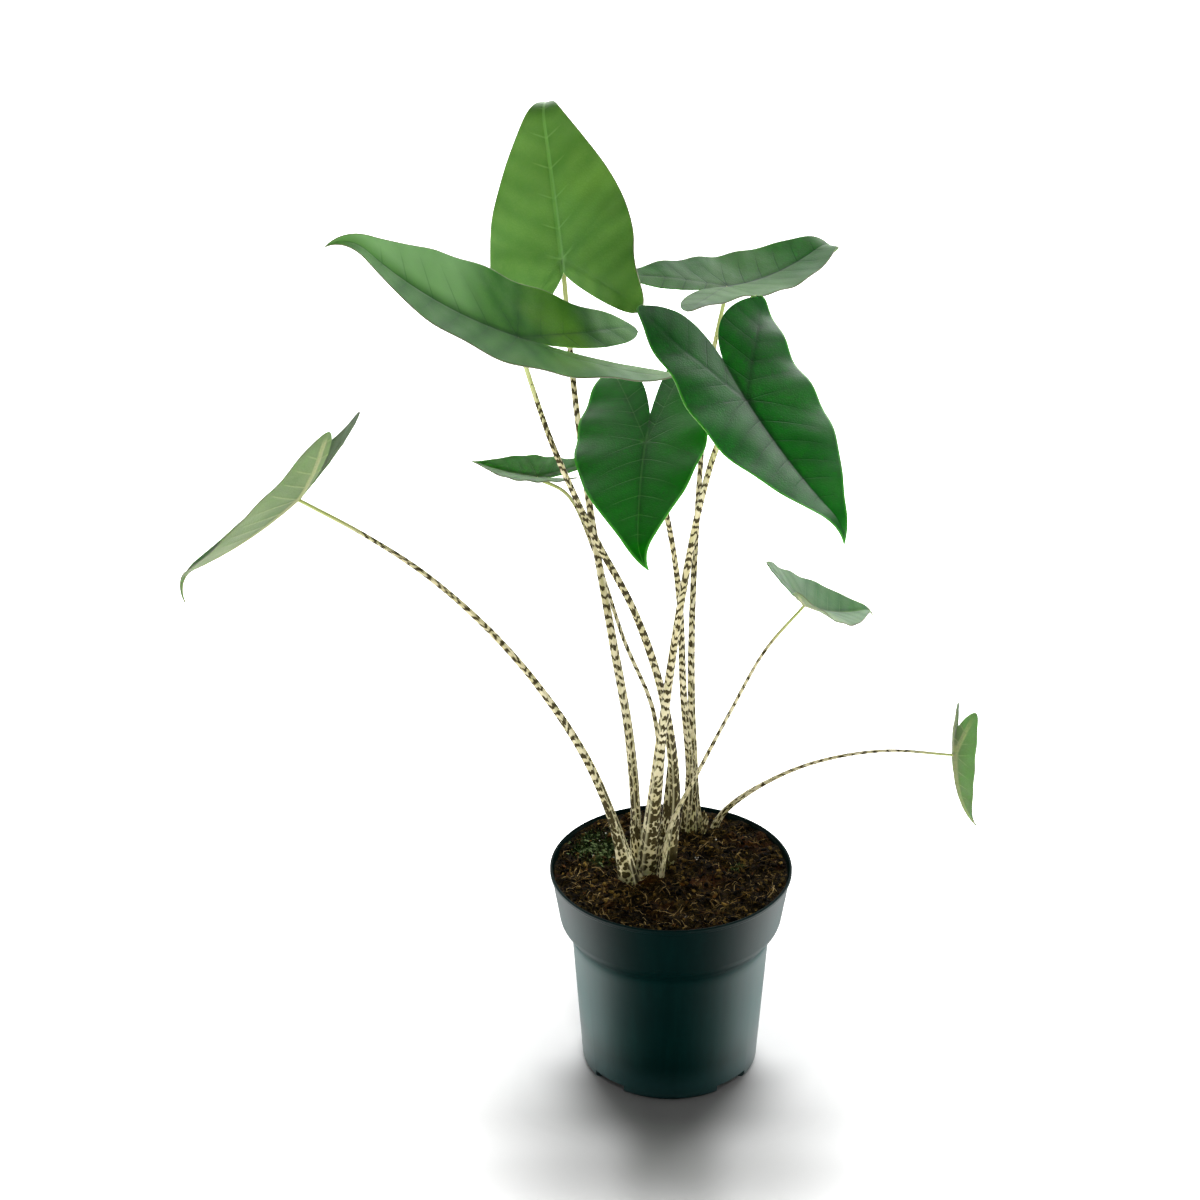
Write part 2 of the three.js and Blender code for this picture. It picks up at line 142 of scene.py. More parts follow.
class Finish(Nodes):
    """A material in the making."""

    def __init__(self, name, **sockets):
        self.material = bpy.data.materials.new(name)
        super().__init__(self.material)
        self.shader = self.tree.nodes["Principled BSDF"]
        self.set(**sockets)

    def set(self, **sockets):
        for name, value in sockets.items():
            self.put(self.shader.inputs[name.replace("_", " ")], value)

    def place(self):
        return self.add("TexCoord", {}, {}, "Object")

    def attribute(self, name, out="Vector"):
        return self.add("Attribute", {"attribute_name": name}, {}, out)

    def grain(self, vector, scale, detail, roughness, distortion=0.0):
        sockets = dict(Vector=vector, Scale=scale, Detail=detail, Roughness=roughness)
        return self.add("TexNoise", {}, {**sockets, "Distortion": distortion})

    def cells(self, vector, scale, feature="DISTANCE_TO_EDGE"):
        return self.add("TexVoronoi", {"feature": feature}, dict(Vector=vector, Scale=scale))

    def mix(self, share, first, second):
        return self.add("Mix", {"data_type": "RGBA"}, {0: share, 6: first, 7: second}, 2)

    def layers(self, colour, *coats):
        """A colour under coats, each given by where it shows and its own colour."""
        for share, coat in coats:
            colour = self.mix(share, colour, coat)
        return colour

    def ramp(self, value, *stops):
        return self.add("ValToRGB", {"stops": stops}, {0: value})

    def bump(self, height, distance, strength):
        return self.add("Bump", {}, dict(Height=height, Distance=distance, Strength=strength))


# ---- camera, light and floor
CAMERA_PLACE = (-0.0557, -2.9827, 2.0182)
CAMERA_DIP = 28.3
FOCAL_PIXELS = 4459
FRAME_PIXELS = 1200

# Area lights: name, place, aim, width, height, watts and spread of the beam.
LIGHTS = (
    ("back_panel", (0.15, 1.9, 1.35), (0, 0, 0.3), 2.7, 1.5, 78, 180),
    ("left_softbox", (-2.0, 0.3, 0.4), (0, 0, 0.3), 1.0, 0.7, 8, 180),
    ("base_fill", (0.1, -0.9, 1.15), (0, 0.02, 0.22), 0.4, 0.4, 0.15, 14),
    ("right_softbox", (2.0, 0.3, 0.4), (0, 0, 0.3), 1.0, 0.7, 5, 180),
    ("left_edge_strip", (-0.3, -0.03, 0.1), (0, 0, 0.1), 0.1, 0.13, 0.26, 20),
    ("right_edge_strip", (0.3, -0.03, 0.1), (0, 0, 0.1), 0.1, 0.13, 0.26, 20),
)
ROOM_LIGHT = 0.06
BRIGHT_SIDE = (0.723, 0.506, 0.469)
BRIGHT_SIDE_LIGHT = 0.45
FLOOR_RADIUS = 9


def make_camera():
    camera = new_object("camera", bpy.data.cameras.new("camera"))
    camera.location = CAMERA_PLACE
    camera.rotation_euler = (radians(90 - CAMERA_DIP), 0, 0)
    camera.data.lens = camera.data.sensor_width * FOCAL_PIXELS / FRAME_PIXELS
    bpy.context.scene.camera = camera


def make_lights():
    for name, place, aim, width, height, watts, spread in LIGHTS:
        data = bpy.data.lights.new(name, "AREA")
        configure(data, shape="RECTANGLE", size=width, size_y=height, energy=watts)
        data.spread = radians(spread)
        light = new_object(name, data)
        light.location = place
        light.visible_camera = False
        direction = Vector(aim) - Vector(place)
        light.rotation_euler = direction.to_track_quat("-Z", "Y").to_euler()


def make_surround():
    """A dim room with one brighter side, which the camera sees as plain white."""
    scene = bpy.context.scene
    scene.view_settings.view_transform = "Standard"
    scene.world = bpy.data.worlds.new("studio")
    surround = Nodes(scene.world)
    direction = surround.add("TexCoord", {}, {}, "Generated")
    nearness = surround.add(
        "VectorMath", {"operation": "DOT_PRODUCT"}, {0: direction, 1: BRIGHT_SIDE}, "Value"
    )
    light = ROOM_LIGHT + nearness.rise(0.5, 0.97) * BRIGHT_SIDE_LIGHT
    seen = surround.add("LightPath", {}, {}, "Is Camera Ray")
    background = surround.tree.nodes["Background"]
    surround.put(background.inputs["Color"], (255, 255, 255))
    surround.put(background.inputs["Strength"], light.most(seen))


def make_floor():
    """White floor that glows away from the pot as painted light, with a painted shadow in front of
    the pot.
    """
    finish = Finish("white_floor", Roughness=0.6)
    x, y, _ = finish.place().parts()
    aside = (x * x + y.most(0) ** 2) ** 0.5
    ahead = 0 - y
    # Painted light: the floor's emission rises away from the pot and ahead of it, and a little
    # along both sides of the painted shadow.
    glow = aside.rise(0.065, 0.34) * 1.15 + ahead.rise(0.15, 0.34) * 1.1
    glow = glow + x.size().rise(0.015, 0.06) * ahead.rise(0.08, 0.14) * 0.17
    # Painted shadow: the floor's colour darkens in a wedge in front of the pot and fades out
    # further ahead.
    shade = (x.size() + ahead * 0.4).fall(0.045, 0.135) * ahead.rise(0.0, 0.05)
    shade = shade * (1 - ahead.rise(0.085, 0.165) * 0.95)
    dimming = 0.45  # keeps the glow's colour below white, and its strength makes up for it
    finish.set(
        Base_Color=finish.mix(shade, (236, 236, 236), (140, 140, 140)),
        Emission_Color=finish.mix(glow * dimming, (0, 0, 0), (255, 255, 255)),
        Emission_Strength=1 / dimming,
    )
    mesh = bmesh.new()
    bmesh.ops.create_circle(mesh, cap_ends=True, segments=96, radius=FLOOR_RADIUS)
    floor = piece_of(mesh, "floor", finish)


# ---- pieces and meshes
def configure(thing, **settings):
    for name, value in settings.items():
        setattr(thing, name, value)


def new_object(name, data):
    thing = bpy.data.objects.new(name, data)
    bpy.context.scene.collection.objects.link(thing)
    return thing


def piece_of(mesh, name, *finishes, smooth=True):
    """Blender object of a finished bmesh."""
    data = bpy.data.meshes.new(name)
    mesh.to_mesh(data)
    mesh.free()
    for finish in finishes:
        data.materials.append(finish.material)
    if smooth:
        data.shade_smooth()
    return new_object(name, data)


def enter(piece, slot, *nodes):
    """Puts a piece in the plant: on its body, and hides the nodes that it stands for. The slot is
    not used.
    """
    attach(piece, "root")
    if nodes:
        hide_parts(*nodes)


def tube(sides, steps):
    """Upright tube of radius and height 1, closed at both ends."""
    mesh = bmesh.new()
    bmesh.ops.create_cone(mesh, cap_ends=True, segments=sides, radius1=1, radius2=1, depth=1)
    uprights = [
        edge for edge in mesh.edges if abs(edge.verts[0].co.z - edge.verts[1].co.z) > 0.5
    ]
    bmesh.ops.subdivide_edges(mesh, edges=uprights, cuts=steps - 1, use_grid_fill=True)
    return mesh


def shape_of(mesh):
    """Turns a small bmesh into a shape that copy_into can repeat."""
    shape = bpy.data.meshes.new("shape")
    mesh.to_mesh(shape)
    mesh.free()
    return shape


def copy_into(mesh, shape):
    """Adds one more copy of a shape to a bmesh, and gives the copy's points."""
    mesh.from_mesh(shape)
    mesh.verts.ensure_lookup_table()
    return mesh.verts[-len(shape.vertices):]


def face_outwards(mesh):
    bmesh.ops.recalc_face_normals(mesh, faces=mesh.faces[:])


def ease(low, high, value):
    share = np.clip((value - low) / (high - low), 0, 1)
    return share * share * (3 - 2 * share)


def bell(distance, width):
    """1 at no distance, and soon 0 beyond the width."""
    return np.exp(-((distance / width) ** 2))


# ---- pot
POT_HEIGHT = 175
RIM_RADIUS = 95
LIP_HEIGHT = 4
LIP_OVERHANG = 1.2
COLLAR_BOTTOM = 130
COLLAR_RADIUS = 87
SHOULDER_BOTTOM = 118
SHOULDER_ROUNDING = 3.2
BODY_RADIUS = 78
FOOT_RADIUS = 69.5
WALL = 1.8
FLOOR = 2.5
RIM_ROUNDING = 0.7
RECESS_HEIGHT = 7.5
RECESS_INNER_RADIUS = 57
RECESS_OUTER_RADIUS = 85
RECESS_HALF_ANGLE = 13
DRAIN_HOLE_RADIUS = 3.5
DRAIN_HOLE_DISTANCE = 62.5
DRAIN_HOLE_DEPTH = 8


def pot_finish():
    """Dark teal plastic with streaks, dust, scuffs and a satin sheen; painted shade higher up, and
    a foot made paler partly by painted light from the floor, partly by dust.
    """
    finish = Finish(
        "dark_teal_moulded_plastic", IOR=1.46, Specular_IOR_Level=0.02, Coat_Roughness=0.3,
        Coat_IOR=1.65,
    )
    place = finish.place()
    z = place.parts()[2]
    streaks = finish.grain(place.scaled(1, 1, 0.05), 160, 3, 0.6)
    clouds = finish.grain(place, 14, 4, 0.55)
    speckle = finish.grain(place, 900, 2, 0.6)
    scuffs = finish.grain(place.scaled(1, 1, 6), 60, 5, 0.7).rise(0.6, 0.72)
    dust = z.rise(0.166, 0.176) * 0.5 + clouds.rise(0.55, 0.8) * 0.15
    teal = finish.layers(
        finish.mix(clouds, (1, 28, 27), (2, 38, 36)),
        (streaks.rise(0.35, 0.75) * 0.2, (8, 50, 47)),
        # Painted shade: darker above the foot, and darker again from the shoulder up.
        (z.rise(0.03, 0.1) * 0.25 + z.rise(0.114, 0.12) * 0.25, (0, 14, 14)),
        # Paler foot: partly painted light thrown up from the floor, partly dust.
        (z.fall(0.0, 0.034) * 0.7, (46, 78, 78)),
        (dust * scuffs * 0.5, (70, 84, 80)),
    )
    outward = finish.add("VectorMath", {"operation": "NORMALIZE"}, {0: place.scaled(1, 1, 0)})
    facing = finish.add("LayerWeight", {}, {"Normal": outward}, "Facing")
    sheen = 0.76 + z.fall(0.01, 0.08) * 0.34 - z.rise(0.106, 0.118) * 0.22
    sheen = sheen - z.rise(0.1735, 0.1745) * 0.55 - facing.rise(0.5, 0.9) * 0.4
    sheen = sheen - (z.rise(0.112, 0.118) - z.rise(0.126, 0.132)) * 0.3
    finish.set(
        Base_Color=teal,
        Roughness=0.42 + clouds * 0.06 + streaks * 0.03 + scuffs * 0.08,
        Coat_Weight=facing.rise(0.13, 0.45) * sheen,
        Normal=finish.bump(speckle * 0.5 + streaks * 0.3, 0.0001, 0.4),
    )
    return finish


def pot_wall():
    """The pot's wall and floor, turned from its outline, with rounded bends."""
    foot, neck, lip = FOOT_RADIUS, RIM_RADIUS - LIP_OVERHANG, POT_HEIGHT - LIP_HEIGHT
    outline = [
        (0, 0), (foot - 5, 0), (foot - 3.1, 0.4), (foot - 1.4, 1.5), (foot - 0.3, 3.1), (foot, 5),
        (BODY_RADIUS, SHOULDER_BOTTOM), (COLLAR_RADIUS, COLLAR_BOTTOM), (neck, lip),
        (RIM_RADIUS, lip + 0.4), (RIM_RADIUS, POT_HEIGHT), (RIM_RADIUS - WALL, POT_HEIGHT),
        (neck - WALL, lip), (COLLAR_RADIUS - WALL, COLLAR_BOTTOM),
        (BODY_RADIUS - WALL, SHOULDER_BOTTOM), (foot - WALL, 6), (foot - WALL - 1, 3.6),
        (foot - WALL - 4, FLOOR), (0, FLOOR),
    ]
    mesh = bmesh.new()
    corners = [mesh.verts.new((radius * MM, 0, height * MM)) for radius, height in outline]
    edges = [mesh.edges.new(pair) for pair in zip(corners, corners[1:])]
    bmesh.ops.spin(
        mesh, geom=corners + edges, axis=(0, 0, 1), cent=(0, 0, 0), steps=176, angle=2 * pi,
        use_merge=True,
    )
    bmesh.ops.remove_doubles(mesh, verts=mesh.verts[:], dist=1e-6)
    face_outwards(mesh)
    at_shoulder, at_rim = [], []
    for edge in mesh.edges:
        one, two = (vert.co for vert in edge.verts)
        level = abs(one.z - two.z) < 1e-7 and abs(one.xy.length - two.xy.length) < 1e-6
        above_foot = one.xy.length > (FOOT_RADIUS + 2.5) * MM
        if level and above_foot and edge.is_manifold and edge.calc_face_angle() > 0.3:
            (at_shoulder if one.z < (COLLAR_BOTTOM + 5) * MM else at_rim).append(edge)
    for bends, rounding in ((at_shoulder, SHOULDER_ROUNDING), (at_rim, RIM_ROUNDING)):
        bmesh.ops.bevel(
            mesh, geom=bends, offset=rounding * MM, segments=4, profile=0.5, affect="EDGES",
            material=-1, clamp_overlap=True,
        )
    return mesh


def recess_blocks():
    """What is cut from the pot: four curved blocks in the bottom edge, each with a drain hole."""
    mesh = bmesh.new()
    half = radians(RECESS_HALF_ANGLE)
    for turn in range(4):
        middle = radians(45 + 90 * turn)
        start = Matrix.Rotation(middle - half, 4, "Z")
        near, far, top = RECESS_INNER_RADIUS, RECESS_OUTER_RADIUS, RECESS_HEIGHT
        corners = [(near, 0, -1), (far, 0, -1), (far, 0, top), (near, 0, top)]
        face = mesh.faces.new([mesh.verts.new(start @ Vector(corner) * MM) for corner in corners])
        bmesh.ops.spin(
            mesh, geom=[face, *face.edges, *face.verts], axis=(0, 0, 1), cent=(0, 0, 0), steps=12,
            angle=2 * half, use_duplicate=False,
        )
        away = Vector((cos(middle), sin(middle), 0)) * DRAIN_HOLE_DISTANCE
        bmesh.ops.create_cone(
            mesh, cap_ends=True, segments=28, radius1=DRAIN_HOLE_RADIUS * MM,
            radius2=DRAIN_HOLE_RADIUS * MM, depth=DRAIN_HOLE_DEPTH * MM,
            matrix=Matrix.Translation((away + Vector((0, 0, RECESS_HEIGHT))) * MM),
        )
    face_outwards(mesh)
    return mesh


def make_pot():
    pot = piece_of(pot_wall(), "pot_shell", pot_finish())
    blocks = piece_of(recess_blocks(), "recess_blocks")
    cut = pot.modifiers.new("recesses", "BOOLEAN")
    configure(cut, operation="DIFFERENCE", solver="EXACT", object=blocks, use_self=True)
    graph = bpy.context.evaluated_depsgraph_get()
    whole = pot.data
    pot.data = bpy.data.meshes.new_from_object(pot.evaluated_get(graph))
    pot.modifiers.clear()
    bpy.data.meshes.remove(whole)
    bpy.data.objects.remove(blocks)
    pot.data.shade_smooth()
    pot.data.set_sharp_from_angle(angle=radians(32))
    enter(pot, "pot_plastic", "pot")


# ---- leaves
# The first row of names places the blade and gives its flat size, the second is how it folds and
# bends, and the third is its relief, its grid and the rounding of its outline.
Leaf = namedtuple(
    "Leaf",
    "at heading pitch roll length width lobe spread sinus "
    "fold curl droop lobe_droop tip_curl twist wave "
    "quilt vein_pitch depth swell rows columns bulge tip",
    defaults=((0.12, 0.25), (0.5, 0.72, 0.1, 0)),
)
LEAVES = {
    "a": Leaf((-84, 37, 678), 99, 45, 25, 135, 132, 54, 64, 10,
        (-10, 26), -16, -5, 16, 80, 24, 1.6,
        0.15, 24, 0.35, 0.15, 150, 46, tip=(0.32, 0.74, 0.16, 0.03)),
    "b": Leaf((-115, -80, 670), 201, 27, 3, 176, 110, 111, 38, 21,
        (0, 26), 0, -26, -14, 86, -21, 1.2,
        0.3, 25, 0.5, 0.3, 160, 42, bulge=(0.2, 0.35)),
    "c": Leaf((41, 110, 624), 46, -14, 0, 129, 74, 81, 31, 28,
        (16, 4), 6, -33, 9, 94, -3, 1.0,
        0.2, 20, 0.5, 0.3, 130, 34, bulge=(0.22, 0.35), tip=(0.5, 0.88, 0.26, 0)),
    "d": Leaf((49, -115, 636), 300, -26, 22, 144, 105, 87, 52, 38,
        (34, -2), -20, -13, -10, 57, 10, 1.4,
        0.22, 20, 0.5, 0.3, 150, 42, bulge=(0.36, 0.5)),
    "e": Leaf((-22, -36, 564), 263, -15, -39, 127, 105, 86, 30, 31,
        (-6, 44), -18, 12, -4, 72, -10, 1.2,
        0.12, 19, 0.16, 0.15, 150, 42, bulge=(0.2, 0.35)),
    "f": Leaf((-105, 110, 462), 164, -1, -3, 53, 47, 39, 15, 8,
        (16, 23), -5, -16, -15, 7, -5, 0.6,
        0.2, 11, 0.6, 0.4, 80, 24),
    "g": Leaf((-278, -59, 529), 148, -47, -17, 172, 70, 84, 22, 6,
        (0, 42), 11, -16, -13, 108, -8, 0.6,
        0.25, 21, 0.6, 0.4, 140, 32),
    "h": Leaf((101, 9, 404), 45, -37, -4, 88, 65, 44, 20, 6,
        (35, 7), -11, -31, -10, 60, 6, 0.7,
        0.25, 15, 0.6, 0.4, 100, 28),
    "i": Leaf((225, 60, 241), 36, -90, 0, 80, 34, 41, 11, 25,
        (22, 20), 22, -38, -14, -2, 2, 0.4,
        0.2, 13, 0.6, 0.4, 90, 22),
}
TIP_CURL_START = 0.78
LOBE_SHARE = 0.34
MARGIN_AT_NOTCH = 0.8
BLADE_THICKNESS = 2.3
THIN_SHARE = 0.36


def bezier(ends, share):
    share = share[:, None]
    rest = 1 - share
    weights = (rest**3, 3 * rest**2 * share, 3 * rest * share**2, share**3)
    return sum(weight * np.array(end, float) for weight, end in zip(weights, ends))


def leaf_axes(leaf):
    turn, rise = radians(leaf.heading), radians(leaf.pitch)
    tip = Vector((cos(rise) * cos(turn), cos(rise) * sin(turn), sin(rise)))
    level = Vector((-sin(turn), cos(turn), 0))
    left = Matrix.Rotation(-radians(leaf.roll), 3, tip) @ level
    return tip, left, tip.cross(left)


def midrib(leaf, s):
    """Distances along and above the leaf's axis, slope and twist of the midrib, at the distances
    s along it."""
    steps = 600
    share = (np.arange(steps) + 0.5) / steps
    curl = np.maximum(0, (share - TIP_CURL_START) / (1 - TIP_CURL_START)) ** 1.5
    ahead = -radians(leaf.droop) * share - radians(leaf.tip_curl) * curl
    behind = radians(leaf.lobe_droop) * share * 1.05
    tables = []
    for slope, reach in ((ahead, leaf.length), (behind, -1.05 * leaf.lobe)):
        step = reach / steps
        marks = np.arange(steps + 1)
        slopes = np.interp(marks, share * steps, slope)
        slopes[0] = 0
        sums = [np.concatenate(([0], np.cumsum(turn(slope)))) * step for turn in (np.cos, np.sin)]
        tables.append((marks * step, *sums, slopes))
    places, *columns = (np.concatenate((back[:0:-1], front)) for front, back in zip(*tables))
    bends = [np.interp(s, places, column) for column in columns]
    return (*bends, radians(leaf.twist) * s / leaf.length)


def turned(vectors, axes, angles):
    """Each vector turned about its own axis by its own angle."""
    cosine, sine = np.cos(angles)[:, None], np.sin(angles)[:, None]
    along = (vectors * axes).sum(1)[:, None] * axes
    return vectors * cosine + np.cross(axes, vectors) * sine + along * (1 - cosine)


def blade_points(leaf, s, t, side):
    """Points of the blade at s along the midrib and t across it, on side 1 or -1."""
    along, rise, slope, twist = midrib(leaf, s)
    half = leaf.width / 2
    fold = radians(leaf.fold[0] if side > 0 else leaf.fold[1])
    bend = radians(leaf.curl or 0.01) / half
    across = side * (np.sin(fold + bend * t) - sin(fold)) / bend
    ripple = leaf.wave * (t / half) ** 2 * np.sin(6 * pi * s / leaf.length + 1.3 * side)
    height = (cos(fold) - np.cos(fold + bend * t)) / bend + ripple
    nought = np.zeros_like(s)
    direction = np.stack((np.cos(slope), nought, np.sin(slope)), 1)
    sideways = turned(np.stack((nought, nought + 1, nought), 1), direction, twist)
    outward = turned(np.stack((-np.sin(slope), nought, np.cos(slope)), 1), direction, twist)
    local = np.stack((along, nought, rise), 1)
    local += sideways * across[:, None] + outward * height[:, None]
    axes = np.array([list(axis) for axis in leaf_axes(leaf)])
    return np.array(leaf.at) + local @ axes


def half_outline(leaf):
    length, width, lobe = leaf.length, leaf.width, leaf.lobe
    spread, sinus = leaf.spread, leaf.sinus
    widest, half = -0.05 * length, width / 2
    rear = [
        (-lobe, spread), (-1.02 * lobe, spread + 0.13 * width), (-0.55 * lobe, half), (widest, half)
    ]
    full, reach, blunt, cut = leaf.tip
    front = [
        (widest, half), (full * length, half), (reach * length, blunt * width),
        (length, cut * width),
    ]
    round_end, round_side = leaf.bulge
    inner = [
        (-lobe, spread), (-0.98 * lobe, spread - round_end * width),
        (-sinus - round_side * (lobe - sinus), 0.03 * width), (-sinus, 0),
    ]
    return rear, front, inner


def flat_places(leaf, across, along):
    """Flat places of grid points, with across and along the half leaf from 0 to 1, and how far
    each is from the margin."""
    rear, front, inner = half_outline(leaf)
    on_lobe = along <= LOBE_SHARE
    lobe_share = np.clip(along / LOBE_SHARE, 0, 1)
    blade_share = np.clip((along - LOBE_SHARE) / (1 - LOBE_SHARE), 0, 1)
    notch = MARGIN_AT_NOTCH
    place = np.where(on_lobe, notch * lobe_share, notch + (2 - notch) * blade_share)
    margin = np.where(
        (place <= 1)[:, None],
        bezier(rear, np.clip(place, 0, 1)), bezier(front, np.clip(place - 1, 0, 1)),
    )
    rib = np.stack((-leaf.sinus + (leaf.sinus + leaf.length) * blade_share, 0 * along), 1)
    start = np.where(on_lobe[:, None], bezier(inner, lobe_share), rib)
    flat = start + (margin - start) * across[:, None]
    edge = np.linalg.norm(margin - start, axis=1) * (1 - across)
    return flat[:, 0], flat[:, 1], edge


def vein_fields(leaf, s, t):
    """The count of side veins from the stalk, whole numbers on a vein, and the distances from
    the basal rib that runs into the lobe and from the nearest side vein."""
    half, pitch = leaf.width / 2, leaf.vein_pitch
    ahead = (s - 0.5 * t - 0.3 * t * t / half) / pitch
    end = Vector((-0.92 * leaf.lobe, leaf.spread + 0.01 * leaf.width))
    end_x, end_y = end / end.length
    along_rib = s * end_x + t * end_y
    off_rib = s * end_y - t * end_x
    behind = (along_rib - 0.6 * np.abs(off_rib)) / (pitch * 0.9)
    lateral = np.maximum(ahead, behind)
    to_vein = np.abs(lateral - np.round(lateral)) * pitch + 20 * (lateral < -0.4)
    return lateral, np.where(along_rib > 0, off_rib, np.hypot(s, t) + 2), to_vein


def blade_relief(leaf, seed, s, t, side, lateral, basal, to_vein, edge):
    """Height of the veins and the puckers between them, in millimetres."""
    half = leaf.width / 2
    inside = ease(0, 0.3 * half, edge) * ease(0.03, 0.3, t / half)
    near_tip = 1 - ease(0.7, 0.95, s / leaf.length)
    pucker = leaf.quilt * (0.5 - 0.5 * np.cos(2 * pi * lateral)) * (lateral > 0) * inside
    furrow = -0.14 * bell(to_vein, 1.5) * ease(0, 0.25 * half, edge)
    rib_width = 1.2 + 1.3 * np.clip(1 - s / leaf.length, 0, 1)
    on_rib = ease(-leaf.sinus - 1, -leaf.sinus + 5, s)
    groove = -0.6 * bell(t, rib_width) * on_rib * near_tip
    groove -= 0.5 * bell(basal, 1.6) * ease(0, 0.4 * half, edge)
    turn = seed * 1.7 + side
    sway = 0.9 * np.sin(s / 17 + turn) * np.sin(t / 13 - 2 * turn) * ease(0.1, 0.6, t / half)
    sway += 0.35 * np.sin(s / 7.3 - turn) * np.sin(t / 6.1 + turn) * ease(0.1, 0.5, t / half)
    return ((pucker + furrow) * near_tip + groove + sway * min(1, half / 50)) * leaf.depth


def make_leaf(letter, slot, top, under):
    leaf = LEAVES[letter]
    mesh = bmesh.new()
    flat = mesh.verts.layers.float_vector.new("flat")
    veins = mesh.verts.layers.float_vector.new("veins")
    relief = mesh.verts.layers.float.new("relief")
    grow = mesh.verts.layers.deform.verify()
    for side in (1, -1):
        grid = bmesh.ops.create_grid(
            mesh, x_segments=leaf.columns, y_segments=leaf.rows, size=0.5
        )["verts"]
        place = np.array([vert.co[:2] for vert in grid]) + 0.5
        across = place[:, 0] ** 1.2
        s, t, edge = flat_places(leaf, across, place[:, 1])
        lateral, basal, to_vein = vein_fields(leaf, s, t)
        height = blade_relief(leaf, ord(letter), s, t, side, lateral, basal, to_vein, edge)
        points = blade_points(leaf, s, t, side)
        rib = bell(t, 1.0 + 2.0 * np.clip(1 - s / leaf.length, 0, 1))
        rib *= ease(-leaf.sinus - 2, -leaf.sinus + 6, s)
        rib = np.maximum(rib, 0.8 * bell(basal, 1.7) * ease(0, 12, edge))
        rib = np.maximum(rib, 0.35 * bell(to_vein, 1.2) * ease(0, 14, edge))
        rib *= np.clip(1 - np.hypot(s, t) / leaf.length, 0.12, 1)
        for i, vert in enumerate(grid):
            vert.co = points[i] * MM
            vert[flat] = (s[i], t[i] * side, across[i])
            vert[veins] = (lateral[i], basal[i], edge[i])
            vert[relief] = height[i] * MM
            vert[grow][0] = THIN_SHARE + leaf.swell * float(rib[i])
        if side < 0:
            faces = {face for vert in grid for face in vert.link_faces}
            bmesh.ops.reverse_faces(mesh, faces=list(faces))
    bmesh.ops.remove_doubles(mesh, verts=mesh.verts[:], dist=2e-6)
    bmesh.ops.dissolve_degenerate(mesh, edges=mesh.edges[:], dist=1e-6)
    mesh.normal_update()
    up = leaf_axes(leaf)[2]
    if sum((face.normal for face in mesh.faces), Vector()).dot(up) < 0:
        bmesh.ops.reverse_faces(mesh, faces=mesh.faces[:])
        mesh.normal_update()
    moves = [(vert, vert.normal * vert[relief]) for vert in mesh.verts]
    for vert, move in moves:
        vert.co += move
    blade = piece_of(mesh, "blade_" + letter, top, under)
    blade.vertex_groups.new(name="ribs")
    shell = blade.modifiers.new("thickness", "SOLIDIFY")
    configure(shell, thickness=BLADE_THICKNESS * MM, offset=-1, use_quality_normals=True)
    configure(shell, vertex_group="ribs", material_offset=1, material_offset_rim=0)
    enter(blade, slot, "leaf_" + letter)


def soak(finish, shine, depths=(0.5, 1.0, 0.2)):
    """Lets light soak through the thin blade, to a depth of its own for each colour."""
    finish.set(Subsurface_Weight=0.6, Subsurface_Radius=depths, Subsurface_Scale=0.004)
    finish.set(Specular_IOR_Level=shine)


def vein_masks(flat, veins, line_width, inset, spine_width, spine_edge, arm_width):
    """Where the side veins, the midrib and the two ribs into the lobes show, from 0 to 1."""
    (s, t, _), (lateral, basal, edge) = flat, veins
    off_vein = (lateral.math("FRACT", lateral + 0.5) - 0.5).size()
    line = off_vein.fall(*line_width) * edge.rise(3, inset) * lateral.rise(-0.3, -0.1)
    spine = (t.size() / spine_width).fall(*spine_edge) * s.rise(-14, -6)
    arms = (basal.size() / arm_width).fall(0.5, 1.0) * edge.rise(2, 10)
    return line, spine, arms


